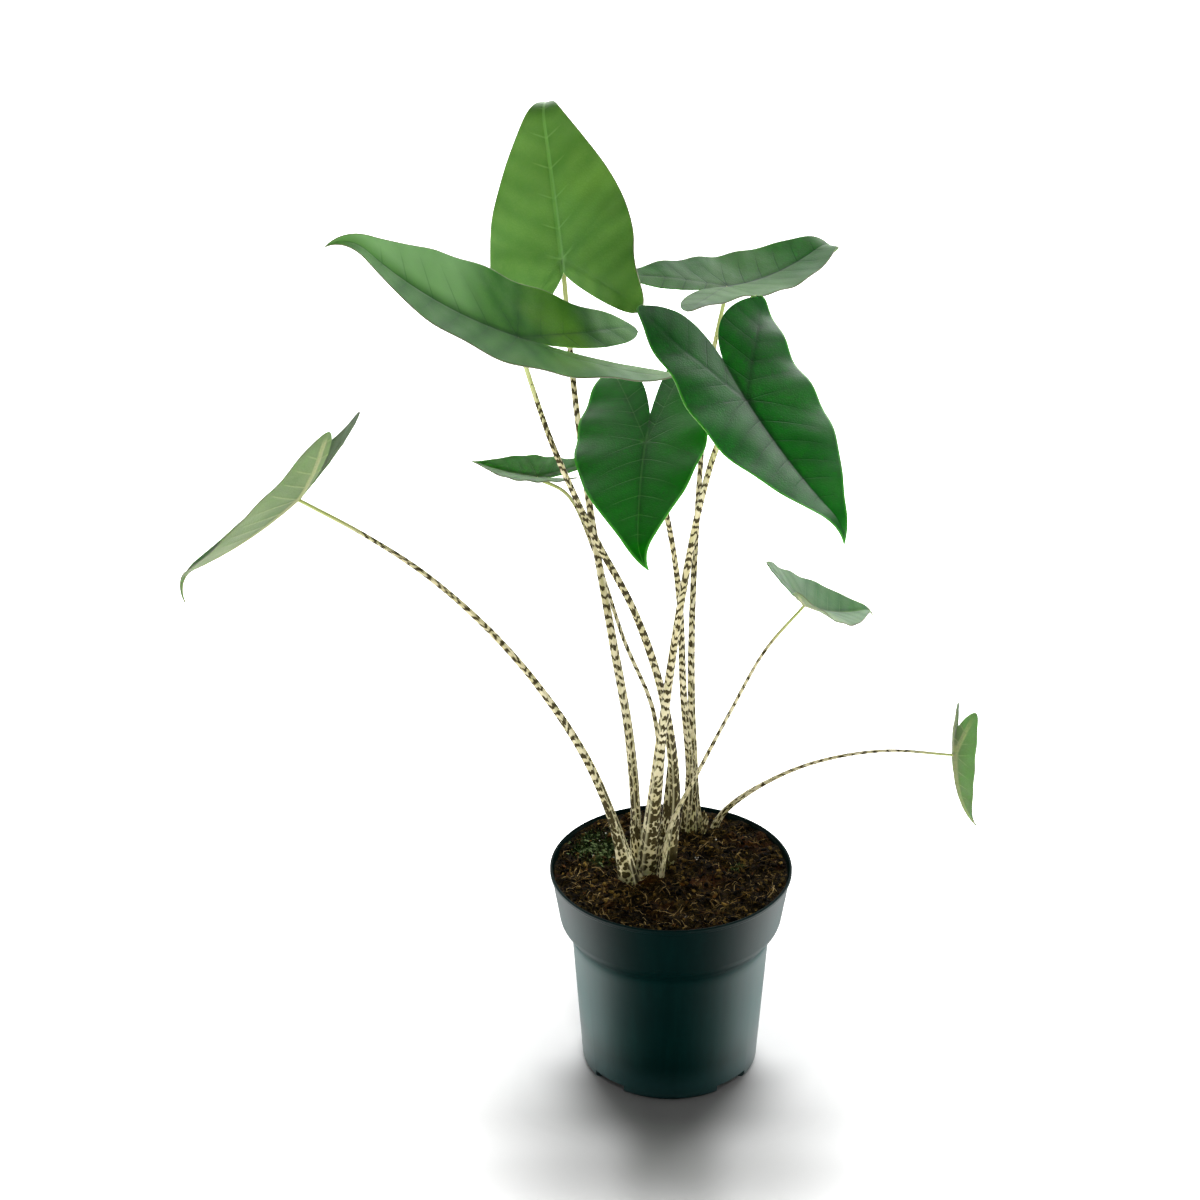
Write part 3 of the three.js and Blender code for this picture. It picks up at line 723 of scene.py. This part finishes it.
def blade_finish(name, deep, light, glow, rib, rib_width, rib_strength, gloss, bloom,
                 vein_reach=40, arm_strength=0.6, shine=0.12, depths=(0.5, 1.0, 0.2), blush=None,
                 hem=(112, 104, 96), hem_width=0.95):
    """Upper face of a leaf: deep and light greens, a warmer glow, its ribs and its hem, and, when a
    far-half colour is given, a paler far half and a painted shade on the near edge.
    """
    finish = Finish(name)
    soak(finish, shine, depths)
    place = finish.place()
    flat, veins = finish.attribute("flat").parts(), finish.attribute("veins").parts()
    (s, t, _), (lateral, _, edge) = flat, veins
    cloud = finish.grain(place, 16, 3, 0.55)
    patch = finish.grain(place.moved((3, 7, 1)), 9, 2, 0.5)
    fine = finish.grain(place, 420, 3, 0.6)
    net = finish.cells(finish.attribute("flat").scaled(0.42, 0.42, 0), 1)
    between = lateral.wave(1.0)
    green = finish.layers(
        finish.mix(cloud.rise(0.3, 0.7) * 0.55 + between * 0.3 + fine * 0.25, deep, light),
        (patch.rise(0.5, 0.72) * 0.75, glow), (net.fall(0.0, 0.12) * 0.16, deep),
    )
    if blush:
        # The far half's paler grey-green is partly its own tone and partly painted sheen; the near
        # edge gets painted shade where it rolls down.
        far = s.rise(15, 60) * t.fall(-12, 4) + s.rise(130, 175) * 0.5
        far_tone_and_sheen_share = far.least(1) * (0.55 + cloud * 0.5).least(0.85)
        green = finish.layers(green, (far_tone_and_sheen_share, blush), (t.rise(20, 44) * 0.4, (40, 88, 30)))
    line, spine, arms = vein_masks(
        flat, veins, (0.012, 0.045), 16, rib_width * (1.15 - s / 190), (0.55, 1.05),
        rib_width * 0.75,
    )
    line = line * t.size().fall(4, vein_reach)
    hub = ((s * s + t * t) ** 0.5).fall(2.0, 6.5)
    ribs = spine.most(arms * arm_strength).most(hub * 0.7)
    dust = finish.grain(place.moved((5, 2, 9)), 30, 5, 0.65).rise(0.42, 0.8)
    green = finish.layers(
        green, (line * 0.7 * rib_strength, rib), (ribs * rib_strength, rib),
        (edge.fall(0.25, hem_width) * 0.75, hem), (dust * bloom, (150, 168, 148)),
    )
    finish.set(
        Base_Color=green,
        Roughness=gloss + cloud * 0.12 + fine * 0.08 - between * 0.04,
        Normal=finish.bump(net.rise(0.0, 0.25) * 0.35 + fine * 0.4 - line * 0.9, 0.0002, 0.55),
    )
    return finish


def underside_finish(name, deep, light, rib):
    finish = Finish(name)
    soak(finish, 0.15)
    place = finish.place()
    flat, veins = finish.attribute("flat").parts(), finish.attribute("veins").parts()
    cloud = finish.grain(place, 22, 3, 0.55)
    fine = finish.grain(place, 500, 3, 0.6)
    net = finish.cells(finish.attribute("flat").scaled(0.4, 0.4, 0), 1)
    line, spine, arms = vein_masks(
        flat, veins, (0.02, 0.06), 12, 3.2 - flat[0] / 75, (0.6, 1.1), 2.2
    )
    green = finish.layers(
        finish.mix(cloud.rise(0.3, 0.7) * 0.7 + fine * 0.2, deep, light),
        (spine.most(arms).most(line * 0.6) * 0.8, rib), (net.fall(0.0, 0.1) * 0.3, deep),
    )
    finish.set(
        Base_Color=green,
        Roughness=0.5 + cloud * 0.1 + fine * 0.08,
        Normal=finish.bump(net.fall(0.0, 0.2) * 0.5 + fine * 0.4, 0.00025, 0.5),
    )
    return finish


# Upper faces: name, the colours deep, light, glow and rib, rib width and strength, gloss, bloom,
# and what is this leaf's own.
BLADES = {
    "a": ("bright_green_blade", (64, 106, 48), (96, 136, 74), (128, 160, 76), (126, 166, 104),
          2.3, 0.6, 0.36, 0.05, dict(vein_reach=16, arm_strength=0.12, depths=(0.85, 1.0, 0.65))),
    "b": ("striped_green_blade", (38, 88, 30), (74, 122, 56), (104, 142, 50), (40, 80, 42),
          1.1, 0.45, 0.46, 0.08, dict(depths=(0.8, 1.0, 0.65), blush=(132, 164, 122))),
    "c": ("grey_green_blade", (34, 72, 34), (52, 94, 46), (60, 102, 36), (26, 58, 30),
          1.0, 0.7, 0.52, 0.12, {}),
    "d": ("glossy_dark_blade", (10, 60, 22), (28, 88, 36), (40, 98, 36), (12, 50, 24),
          1.0, 0.45, 0.32, 0.04, dict(shine=0.24, hem=(84, 146, 64), hem_width=2.0)),
    "e": ("deep_green_blade", (8, 62, 8), (20, 84, 18), (34, 100, 24), (96, 144, 78),
          0.9, 0.22, 0.42, 0.02, dict(shine=0.08, hem=(84, 146, 64), hem_width=2.6)),
    "f": ("young_green_blade", (60, 90, 52), (80, 106, 68), (88, 112, 66), (98, 122, 80),
          1.0, 0.6, 0.54, 0.2, {}),
    "g": ("pale_green_blade", (58, 79, 54), (84, 98, 74), (91, 104, 72), (116, 126, 96),
          1.0, 0.6, 0.5, 0.2, {}),
    "h": ("grey_young_blade", (84, 110, 84), (118, 136, 112), (126, 142, 108), (132, 148, 118),
          1.0, 0.6, 0.46, 0.2, {}),
}


def make_leaves():
    finishes = {letter: blade_finish(*row, **own) for letter, (*row, own) in BLADES.items()}
    finishes["i"] = finishes["g"]
    bright = underside_finish(
        "bright_leaf_underside", (88, 104, 70), (116, 128, 94), (150, 152, 110)
    )
    dark = underside_finish("dark_leaf_underside", (70, 104, 66), (98, 132, 88), (140, 156, 104))
    for letter in LEAVES:
        slot = "leaf_bright" if letter in "ab" else "leaf_dark" if letter in "cde" else "leaf_pale"
        make_leaf(letter, slot, finishes[letter], dark if letter in "cde" else bright)


# ---- stalks
SOIL_EDGE = 165
TUBER_TOP = 150.3
STALK_SIDES = 44
STALK_STEPS = 170
SHEATH_SHARE = 0.42
BLADE_GAP = 0.4
Stalk = namedtuple("Stalk", "foot top flare flare_length sheath marks route")
STALKS = {
    "a": Stalk(4.3, 1.7, 1.9, 70, 250, 1.0, [
        (-27, 10, 166), (-28, 12, 224), (-34, 14, 293), (-46, 18, 368),
        (-62, 23, 469), (-75, 30, 575)]),
    "b": Stalk(4.0, 1.6, 3.6, 185, 300, 1.35, [
        (-3, 12, 166), (2, 6, 241), (-7, -7, 329), (-29, -22, 412),
        (-59, -37, 484), (-90, -56, 570)]),
    "c": Stalk(3.3, 1.5, 1.0, 70, 220, 1.1, [
        (22, 68, 166), (19, 70, 217), (16, 77, 308), (19, 88, 426), (28, 101, 553)]),
    "d": Stalk(4.2, 1.9, 4.9, 195, 325, 0.95, [
        (-19, 0, 166), (-13, -12, 247), (-6, -30, 335), (5, -57, 443),
        (19, -85, 545), (32, -103, 602)]),
    "e": Stalk(3.5, 1.7, 1.2, 70, 240, 1.15, [
        (12, 62, 166), (15, 53, 227), (9, 34, 314), (5, 11, 406),
        (-5, -12, 487), (-16, -27, 536)]),
    "f": Stalk(1.9, 1.3, 1.2, 70, 250, 0.9, [
        (-14, 17, 166), (-9, 28, 228), (-14, 43, 290), (-37, 61, 344),
        (-60, 83, 410), (-81, 100, 451)]),
    "g": Stalk(3.9, 1.3, 5.0, 85, 205, 1.0, [
        (-33, -13, 166), (-46, -16, 227), (-73, -22, 299), (-124, -32, 385),
        (-182, -42, 453), (-232, -50, 495)]),
    "h": Stalk(1.9, 1.0, 2.2, 70, 250, 0.62, [
        (-9, -9, 166), (0, -7, 218), (19, -4, 260), (44, 0, 313), (71, 5, 366)]),
    "i": Stalk(1.9, 0.9, 1.6, 70, 60, 0.7, [
        (34, 64, 166), (44, 64, 187), (78, 63, 215), (118, 62, 234), (169, 61, 244)]),
}


def curve_through(knots):
    """Points along a smooth curve through all the knots but the first and the last."""
    share = np.arange(60) / 60
    gaps = np.linalg.norm(np.diff(knots, axis=0), axis=1) ** 0.5

    def handle(near, far, behind, a, b):
        return (a * a * far - b * b * behind + (a + b) * (2 * a + b) * near) / (3 * a * (a + b))

    points = []
    for k in range(1, len(knots) - 2):
        before, start, end, after = knots[k - 1:k + 3]
        a, b, c = gaps[k - 1:k + 2]
        ends = (start, handle(start, end, before, a, b), handle(end, start, after, c, b), end)
        points.append(bezier(ends, share))
    return np.concatenate((*points, [knots[-2]]))


def stalk_path(letter):
    """Evenly spaced points of the centreline, from the tuber to the leaf."""
    stalk, leaf = STALKS[letter], LEAVES[letter]
    up = leaf_axes(leaf)[2]
    joint = Vector(leaf.at)
    tilt = (joint - Vector(stalk.route[-1])).normalized().dot(up)
    reach = stalk.top * sqrt(1 - tilt * tilt)
    sag = stalk.top * tan(radians(max(0, -leaf.fold[0], -leaf.fold[1])))
    joint -= up * (BLADE_GAP + reach + sag)
    foot = (*stalk.route[0][:2], TUBER_TOP)
    knots = np.array([foot, *stalk.route, list(joint)])
    knots = np.array([knots[0] * 2 - knots[1], *knots, knots[-1] * 2 - knots[-2]])
    points = curve_through(knots)
    lengths = np.concatenate(([0], np.cumsum(np.linalg.norm(np.diff(points, axis=0), axis=1))))
    shares = np.linspace(0, lengths[-1], STALK_STEPS + 1)
    even = np.stack([np.interp(shares, lengths, points[:, axis]) for axis in range(3)], 1)
    return even, lengths[-1]


def make_stalk(letter, finish):
    stalk = STALKS[letter]
    path, length = stalk_path(letter)
    tangents = np.gradient(path, axis=0)
    tangents /= np.linalg.norm(tangents, axis=1)[:, None]
    mesh = tube(STALK_SIDES, STALK_STEPS)
    skin = mesh.verts.layers.float_vector.new("skin")
    growth = mesh.verts.layers.float_vector.new("growth")
    seed = ord(letter) * 3.7
    for vert in mesh.verts:
        step = round((vert.co.z + 0.5) * STALK_STEPS)
        along = step / STALK_STEPS
        turn = atan2(vert.co.y, vert.co.x)
        centre, tangent = Vector(path[step]), Vector(tangents[step])
        right = tangent.cross(Vector((0, 1, 0))).normalized()
        third = right.cross(tangent)
        flare = max(0, 1 - (centre.z - SOIL_EDGE) / stalk.flare_length)
        radius = stalk.foot + (stalk.top - stalk.foot) * along + stalk.flare * flare**2
        off = (degrees(turn) - stalk.sheath + 180) % 360 - 180
        fade = max(0.0, min(1.0, (SHEATH_SHARE - along) / 0.12))
        lips, hollow = bell(abs(off) - 24, 7), bell(off, 17)
        radius += fade * (0.55 * lips - 0.5 * hollow) * stalk.foot / 3.8
        radius += 0.10 * sin(turn * 5 + seed) + 0.07 * sin(turn * 9 - along * 30 + seed)
        radius *= 1 + 0.025 * sin(along * 37 + seed) * (1 - along)
        vert.co = (centre + right * radius * cos(turn) + third * radius * sin(turn)) * MM
        vert[skin] = (cos(turn), sin(turn), along * length)
        vert[growth] = (along, stalk.marks, fade * lips)
    face_outwards(mesh)
    enter(piece_of(mesh, "stalk_" + letter, finish), "stalk", "petiole_" + letter)


def stalk_finish():
    """Cream skin with jagged dark cross bars, and with larger spots low down."""
    finish = Finish("zebra_marked_stalk", Specular_IOR_Level=0.14)
    place = finish.place()
    skin = finish.attribute("skin")
    distance = skin.parts()[2]
    along, marks, lip = finish.attribute("growth").parts()

    def patches(across, length, detail):
        spread = skin.scaled(across, across, length).moved(place.scaled(9, 9, 0))
        return finish.grain(spread, 1, detail, 0.6, 0.3)

    ragged = patches(2.4, 0.5, 4)
    ring = (distance * 0.118 + patches(0.6, 0.04, 2) * 2.4).wave(1.0)
    bars = ring * 0.5 + patches(0.8, 0.11, 3) * 1.2
    spread = skin.scaled(2.3, 2.3, 0.27).moved(place.scaled(60, 60, 0))
    spots = 1.75 - finish.cells(spread, 1, "F1") - ragged * 0.5
    spots = spots + (patches(0.5, 0.06, 2) - 0.5) * 1.2
    low = along.fall(0.1, 0.34)
    depth = bars * (1 - low) + spots * low + ragged * 0.5 + marks * 0.25 - 1.4
    depth = depth - along.rise(0.84, 0.985) * 0.6
    dark = depth.rise(-0.02, 0.06)
    fine = finish.grain(place, 700, 3, 0.6)
    clouds = finish.grain(skin.scaled(0.6, 0.6, 0.03), 1, 3, 0.6)
    colour = finish.layers(
        finish.mix(clouds.rise(0.3, 0.7), (188, 177, 132), (220, 212, 178)),
        (patches(0.9, 0.06, 3).rise(0.45, 0.7) * 0.5, (148, 148, 84)),
        (along.rise(0.8, 1.0) * 0.85, (170, 186, 104)),
        (along.fall(0.03, 0.075) * 0.75, (98, 112, 50)),
        (depth.rise(-0.09, 0.02) * 0.6, (104, 98, 48)),
        (dark * 0.95, finish.mix(fine, (26, 21, 1), (64, 54, 10))),
        (lip * 0.75, (214, 208, 164)),
    )
    strings = finish.grain(skin.scaled(7, 7, 0.02), 1, 2, 0.5)
    finish.set(
        Base_Color=colour,
        Roughness=0.48 + fine * 0.12 + dark * 0.08,
        Normal=finish.bump(strings * 0.7 + fine * 0.3 - dark * 0.15, 0.00022, 0.6),
    )
    return finish


# Old sheaths at the stalks' feet: place, lean, height, radius at the foot and at the top, turn.
SHEATHS = (
    ((-25, 3), (-4, 4), 44, 6.4, 3.4, 70),
    ((-14, -1), (7, -2), 36, 6.2, 3.0, 250),
    ((-8, 5), (8, 2), 84, 6.0, 3.6, 120),
    ((-22, -11), (-3, -2), 16, 4.2, 1.6, 20),
    ((-28, -5), (-8, -1), 30, 5.4, 2.4, 300),
    ((17, 56), (1, 10), 40, 5.6, 3.2, 80),
    ((24, 58), (5, 3), 22, 4.4, 2.0, 200),
)


def make_sheaths(finish):
    """Short old sheaths that close the gaps between the feet of the stalks."""
    mesh = bmesh.new()
    skin = mesh.verts.layers.float_vector.new("skin")
    growth = mesh.verts.layers.float_vector.new("growth")
    sleeve = shape_of(tube(30, 18))
    for place, lean, tall, foot, top, opening in SHEATHS:
        for vert in copy_into(mesh, sleeve):
            share = vert.co.z + 0.5
            turn = atan2(vert.co.y, vert.co.x)
            slant = cos(turn - radians(opening)) * ease(0.5, 1, share)
            height = share * (1 + 0.22 * slant) * tall
            radius = foot + (top - foot) * share**0.8
            radius *= 1 + 0.05 * sin(3 * turn + foot * 9) + 0.03 * sin(7 * turn)
            x = place[0] + lean[0] * share + radius * cos(turn)
            y = place[1] + lean[1] * share + radius * sin(turn) * 0.85
            vert.co = Vector((x, y, SOIL_EDGE - 2 + height)) * MM
            vert[skin] = (cos(turn), sin(turn), height + 3 * foot)
            vert[growth] = (0.02 + share * 0.1, 0.95, 0)
    face_outwards(mesh)
    enter(piece_of(mesh, "leaf_sheaths", finish), "stalk")


def make_stalks():
    finish = stalk_finish()
    for letter in STALKS:
        make_stalk(letter, finish)
    make_sheaths(finish)


# ---- tubers and soil
SOIL_LEVEL = 170.5
SOIL_GAP = 0.3
SOIL_CELLS = 190
CLEAR_OF_STALKS = 6.5


def finish_tubers():
    """Rough brown skin for the two tubers, which keep their solids."""
    finish = Finish("rough_brown_tuber_skin")
    place = finish.place()
    bark = finish.grain(place.scaled(1, 1, 3), 120, 5, 0.65)
    rings = finish.grain(place.scaled(0.2, 0.2, 2), 90, 3, 0.6)
    colour = finish.mix(bark, (58, 38, 22), (126, 98, 66))
    finish.set(
        Base_Color=finish.mix(rings.rise(0.5, 0.7) * 0.6, colour, (72, 50, 30)),
        Roughness=0.75 + bark * 0.2,
        Normal=finish.bump(bark + rings, 0.0008, 0.8),
    )
    for corm in ("corm_front", "corm_back"):
        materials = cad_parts[corm].data.materials
        materials.clear()
        materials.append(finish.material)


def soil_height(x, y):
    """Height of the soil surface, in millimetres, without its crumbs."""
    crown = 1.5 * exp(-(x * x + (y - 10) ** 2) / 62**2)
    lumps = sin(x * 0.21 + 1.3) * cos(y * 0.17) + 0.6 * sin(x * 0.11 - y * 0.26 + 0.7)
    bank = ease(0.5, 1, hypot(x, y) / 91) * (1.4 + 1.2 * y / 91)
    return SOIL_LEVEL + crown + bank + 1.1 * lumps


def rough_height(x, y):
    place = Vector((x, y, 3.0))
    coarse = noise.fractal(place * 0.09, 0.8, 2.1, 4)
    fine = noise.turbulence(place * 0.33, 3, False)
    return soil_height(x, y) + 1.5 * coarse + 1.3 * (fine - 0.5)


def soil_finish():
    finish = Finish("moist_fibrous_soil", Specular_IOR_Level=0.05)
    place = finish.place()
    coarse = finish.grain(place, 55, 6, 0.7)
    crumb = finish.grain(place, 260, 5, 0.7, 0.4)
    thread = finish.grain(place.scaled(1, 3.5, 1), 330, 3, 0.6, 1.2)
    other = finish.grain(place.scaled(3.5, 1, 1).moved((4, 1, 2)), 330, 3, 0.6, 1.2)
    grit = finish.cells(place, 900, "F1")
    tone = finish.ramp(
        crumb, (0.35, (5, 3, 1)), (0.5, (33, 27, 12)), (0.62, (84, 70, 34)),
        (0.76, (148, 116, 62)),
    )
    tone = finish.mix(coarse.rise(0.35, 0.62), finish.mix(0.7, tone, (8, 5, 2)), tone)
    hair = thread.rise(0.62, 0.7).most(other.rise(0.62, 0.7))
    x, y, _ = place.parts()
    mossy = (((x + 0.052) ** 2 + (y - 0.03) ** 2) ** 0.5).fall(0.008, 0.032)
    tone = finish.layers(
        tone,
        (finish.grain(place, 24, 4, 0.6).fall(0.4, 0.6) * 0.48, (5, 3, 1)),
        (finish.grain(place, 34, 3, 0.6).rise(0.52, 0.68) * 0.35, (84, 46, 14)),
        (hair * 0.5, (128, 98, 62)),
        (mossy * coarse.rise(0.4, 0.55) * 0.75, (46, 66, 26)),
    )
    height = crumb * 1.2 + thread * 0.5 + other * 0.5 - grit.rise(0.1, 0.6) * 0.5
    finish.set(
        Base_Color=tone,
        Roughness=0.78 + crumb * 0.2,
        Normal=finish.bump(height, 0.0016, 0.9),
    )
    return finish


def wall_radius(height):
    """Radius of the pot's inner wall at a height, in millimetres."""
    heights = (0, SHOULDER_BOTTOM, COLLAR_BOTTOM, POT_HEIGHT - LIP_HEIGHT)
    radii = (FOOT_RADIUS - 0.3, BODY_RADIUS, COLLAR_RADIUS, RIM_RADIUS - LIP_OVERHANG)
    return float(np.interp(height, heights, radii)) - WALL


def make_soil():
    """The bed of soil: a square grid drawn out to a disc, and walls down to the pot's floor."""
    reach = wall_radius(POT_HEIGHT - LIP_HEIGHT) - SOIL_GAP
    mesh = bmesh.new()
    top = bmesh.ops.create_grid(mesh, x_segments=SOIL_CELLS, y_segments=SOIL_CELLS, size=1)
    for vert in top["verts"]:
        u, v = vert.co.x, vert.co.y
        x = reach * u * sqrt(1 - v * v / 2)
        y = reach * v * sqrt(1 - u * u / 2)
        rim = ease(0.97, 1.0, hypot(x, y) / reach)
        height = rough_height(x, y) * (1 - rim) + (soil_height(x, y) - 1) * rim
        vert.co = Vector((x, y, height)) * MM
    border = [edge for edge in mesh.edges if edge.is_boundary]
    for height, inset in ((COLLAR_BOTTOM + 0.3, 0), (SHOULDER_BOTTOM + 0.3, 0), (12, 0), (3.2, 4)):
        made = bmesh.ops.extrude_edge_only(mesh, edges=border)["geom"]
        edges = (item for item in made if isinstance(item, bmesh.types.BMEdge))
        border = [edge for edge in edges if edge.is_boundary]
        for vert in {vert for edge in border for vert in edge.verts}:
            radius = wall_radius(height) - SOIL_GAP - inset
            direction = vert.co.xy.normalized() * radius * MM
            vert.co = (direction.x, direction.y, height * MM)
    bmesh.ops.contextual_create(mesh, geom=border)
    face_outwards(mesh)
    enter(piece_of(mesh, "soil_bed", soil_finish()), "soil", "soil")


def scattered(seed, count, inner=0, outer=88):
    """Random places on the soil, clear of the stalks."""
    rng = random.Random(seed)
    feet = [Vector(stalk.route[0][:2]) for stalk in STALKS.values()]
    made = 0
    while made < count:
        radius = sqrt(rng.uniform(inner**2, outer**2))
        turn = rng.uniform(0, 2 * pi)
        x, y = radius * cos(turn), radius * sin(turn)
        if min((Vector((x, y)) - foot).length for foot in feet) > CLEAR_OF_STALKS:
            made += 1
            yield rng, x, y


def tumbled(rng, low, high):
    """Any turn about the upright, after a tilt between two angles in radians."""
    turn = Matrix.Rotation(rng.uniform(0, 6.3), 4, "Z")
    return turn @ Matrix.Rotation(rng.uniform(low, high), 4, "X")


def loose_mesh():
    """Empty bmesh whose points have a tone each."""
    mesh = bmesh.new()
    mesh.verts.layers.float.new("tone")
    return mesh


def lay(mesh, shape, rng, x, y, lift, turn, form, shade, chipping=None):
    """Lays a copy of a shape on the soil, with its points chipped at random."""
    place = Matrix.Translation((x, y, rough_height(x, y) + lift)) @ turn
    place = place @ Matrix.Diagonal((*form, 1))
    tone = mesh.verts.layers.float["tone"]
    for vert in copy_into(mesh, shape):
        vert.co = place @ (vert.co * rng.uniform(*chipping) if chipping else vert.co) * MM
        vert[tone] = shade


def enter_loose(mesh, name, dark, middle, light, gloss=0.8, smooth=True):
    """Puts loose bits in the plant, each with its own tone between the three colours."""
    finish = Finish(name, Specular_IOR_Level=0.05)
    place = finish.place()
    fine = finish.grain(place, 600, 4, 0.65)
    zone = finish.grain(place, 24, 4, 0.6).fall(0.4, 0.6)
    tone = finish.attribute("tone", "Fac") * 0.8 + fine * 0.3 - zone * 0.21
    finish.set(
        Base_Color=finish.ramp(tone, (0.05, dark), (0.45, middle), (0.9, light)),
        Roughness=gloss + fine * 0.15,
        Normal=finish.bump(fine, 0.0004, 0.7),
    )
    enter(piece_of(mesh, name, finish, smooth=smooth), "soil")


def make_crumbs():
    mesh = loose_mesh()
    lump = bmesh.new()
    bmesh.ops.create_icosphere(lump, subdivisions=1, radius=1)
    lump = shape_of(lump)
    for rng, x, y in scattered(5, 1500):
        size = rng.choice((0.6, 0.8, 1.1, 1.5, 2.1))
        turn = tumbled(rng, -1, 1)
        form = [size * rng.uniform(*limits) for limits in ((0.7, 1.7), (0.6, 1.1), (0.4, 0.8))]
        lay(mesh, lump, rng, x, y, size * 0.25, turn, form, rng.random() ** 1.6, (0.7, 1.25))
    enter_loose(mesh, "peat_crumbs", (6, 4, 1), (38, 30, 12), (128, 104, 54), smooth=False)


def make_chips():
    mesh = loose_mesh()
    flake = bmesh.new()
    bmesh.ops.create_cube(flake, size=1.6)
    bmesh.ops.subdivide_edges(flake, edges=flake.edges[:], cuts=1, use_grid_fill=True)
    flake = shape_of(flake)
    for rng, x, y in scattered(23, 170, inner=20, outer=85):
        size = rng.uniform(1.0, 3.0)
        turn = tumbled(rng, -0.7, 0.7)
        form = (size, size * rng.uniform(0.35, 0.7), size * rng.uniform(0.12, 0.3))
        lay(mesh, flake, rng, x, y, 0.5, turn, form, rng.random(), (0.72, 1.12))
    enter_loose(mesh, "bark_chips", (10, 6, 2), (36, 22, 8), (84, 56, 24), smooth=False)


def make_fibres():
    mesh = loose_mesh()
    tone = mesh.verts.layers.float["tone"]
    steps = 8
    thread = shape_of(tube(5, steps))
    for rng, x, y in scattered(11, 760, outer=84):
        length = rng.uniform(3, 9) if rng.random() < 0.93 else rng.uniform(12, 24)
        thick = rng.uniform(0.16, 0.36)
        turn = rng.uniform(0, 2 * pi)
        bend = rng.uniform(-0.09, 0.09)
        lift = rng.uniform(0.2, 1.6)
        shade = rng.random()
        line = [Vector((x, y))]
        for _ in range(steps):
            turn += bend + rng.uniform(-0.18, 0.18)
            line.append(line[-1] + Vector((cos(turn), sin(turn))) * length / steps)
        line = [point * min(1, 88 / point.length) for point in line]
        for vert in copy_into(mesh, thread):
            step = round((vert.co.z + 0.5) * steps)
            share = step / steps
            ahead = line[min(step + 1, steps)] - line[max(step - 1, 0)]
            side = Vector((-ahead.y, ahead.x)).normalized()
            taper = thick * (1 - 0.6 * abs(2 * share - 1) ** 3)
            here = line[step] + side * vert.co.x * taper
            level = rough_height(*line[step]) + lift * sin(pi * share) + 0.5
            vert[tone] = shade
            vert.co = Vector((here.x, here.y, level + vert.co.y * taper)) * MM
    face_outwards(mesh)
    enter_loose(mesh, "peat_fibres", (40, 28, 10), (92, 70, 34), (176, 152, 104), gloss=0.6)


def make_perlite():
    mesh = loose_mesh()
    tone = mesh.verts.layers.float["tone"]
    for rng, x, y in scattered(31, 15, inner=24, outer=84):
        size = rng.uniform(0.45, 1.0)
        height = rough_height(x, y) + size * 0.7
        place = Matrix.Scale(MM, 4) @ Matrix.Translation((x, y, height)) @ Matrix.Scale(size, 4)
        speck = bmesh.ops.create_icosphere(mesh, subdivisions=2, radius=1, matrix=place)
        centre = Vector((x, y, height)) * MM
        for vert in speck["verts"]:
            grain = noise.noise(vert.co * 1400 + Vector((x, y, 0)))
            vert.co = centre + (vert.co - centre) * (1 + 0.45 * grain)
            vert[tone] = rng.uniform(0.6, 1)
    enter_loose(mesh, "perlite_specks", (150, 146, 136), (214, 212, 204), (240, 240, 236))


def make_moss():
    """Patches of upright thorns, and small leafy pads on the largest patch."""
    rng = random.Random(41)
    mesh = loose_mesh()
    thorn, pad = bmesh.new(), bmesh.new()
    bmesh.ops.create_cone(
        thorn, cap_ends=True, segments=4, radius1=0.45, radius2=0.08, depth=1,
        matrix=Matrix.Translation((0, 0, 0.5)),
    )
    bmesh.ops.create_icosphere(pad, subdivisions=1, radius=1)
    thorn, pad = shape_of(thorn), shape_of(pad)
    patches = [(-64, 50, 12), (-58, 32, 11), (-52, 22, 8), (-70, 30, 8), (-44, 34, 7), (52, 4, 5)]
    for x0, y0, reach in patches:
        for _ in range(int(reach * 40)):
            x, y = x0 + rng.gauss(0, reach * 0.55), y0 + rng.gauss(0, reach * 0.55)
            if hypot(x, y) > 86:
                continue
            tall = rng.uniform(1.0, 3.2)
            turn = tumbled(rng, 0, 0.9)
            lay(mesh, thorn, rng, x, y, -0.2, turn, (1, 1, tall), rng.random())
    for _ in range(90):
        x, y = rng.gauss(-60, 9), rng.gauss(27, 9)
        turn = tumbled(rng, -0.8, 0.8)
        size = rng.uniform(1.0, 2.2)
        lift = rng.uniform(0.8, 2.6)
        form = (size, size * 0.55, 0.3)
        lay(mesh, pad, rng, x, y, lift, turn, form, rng.uniform(1.0, 1.4))
    enter_loose(mesh, "soil_moss", (16, 28, 8), (38, 58, 22), (104, 120, 80))


# ---- the whole plant
make_camera()
make_lights()
make_surround()
make_floor()
make_pot()
make_leaves()
make_stalks()
finish_tubers()
make_soil()
make_crumbs()
make_fibres()
make_chips()
make_perlite()
make_moss()
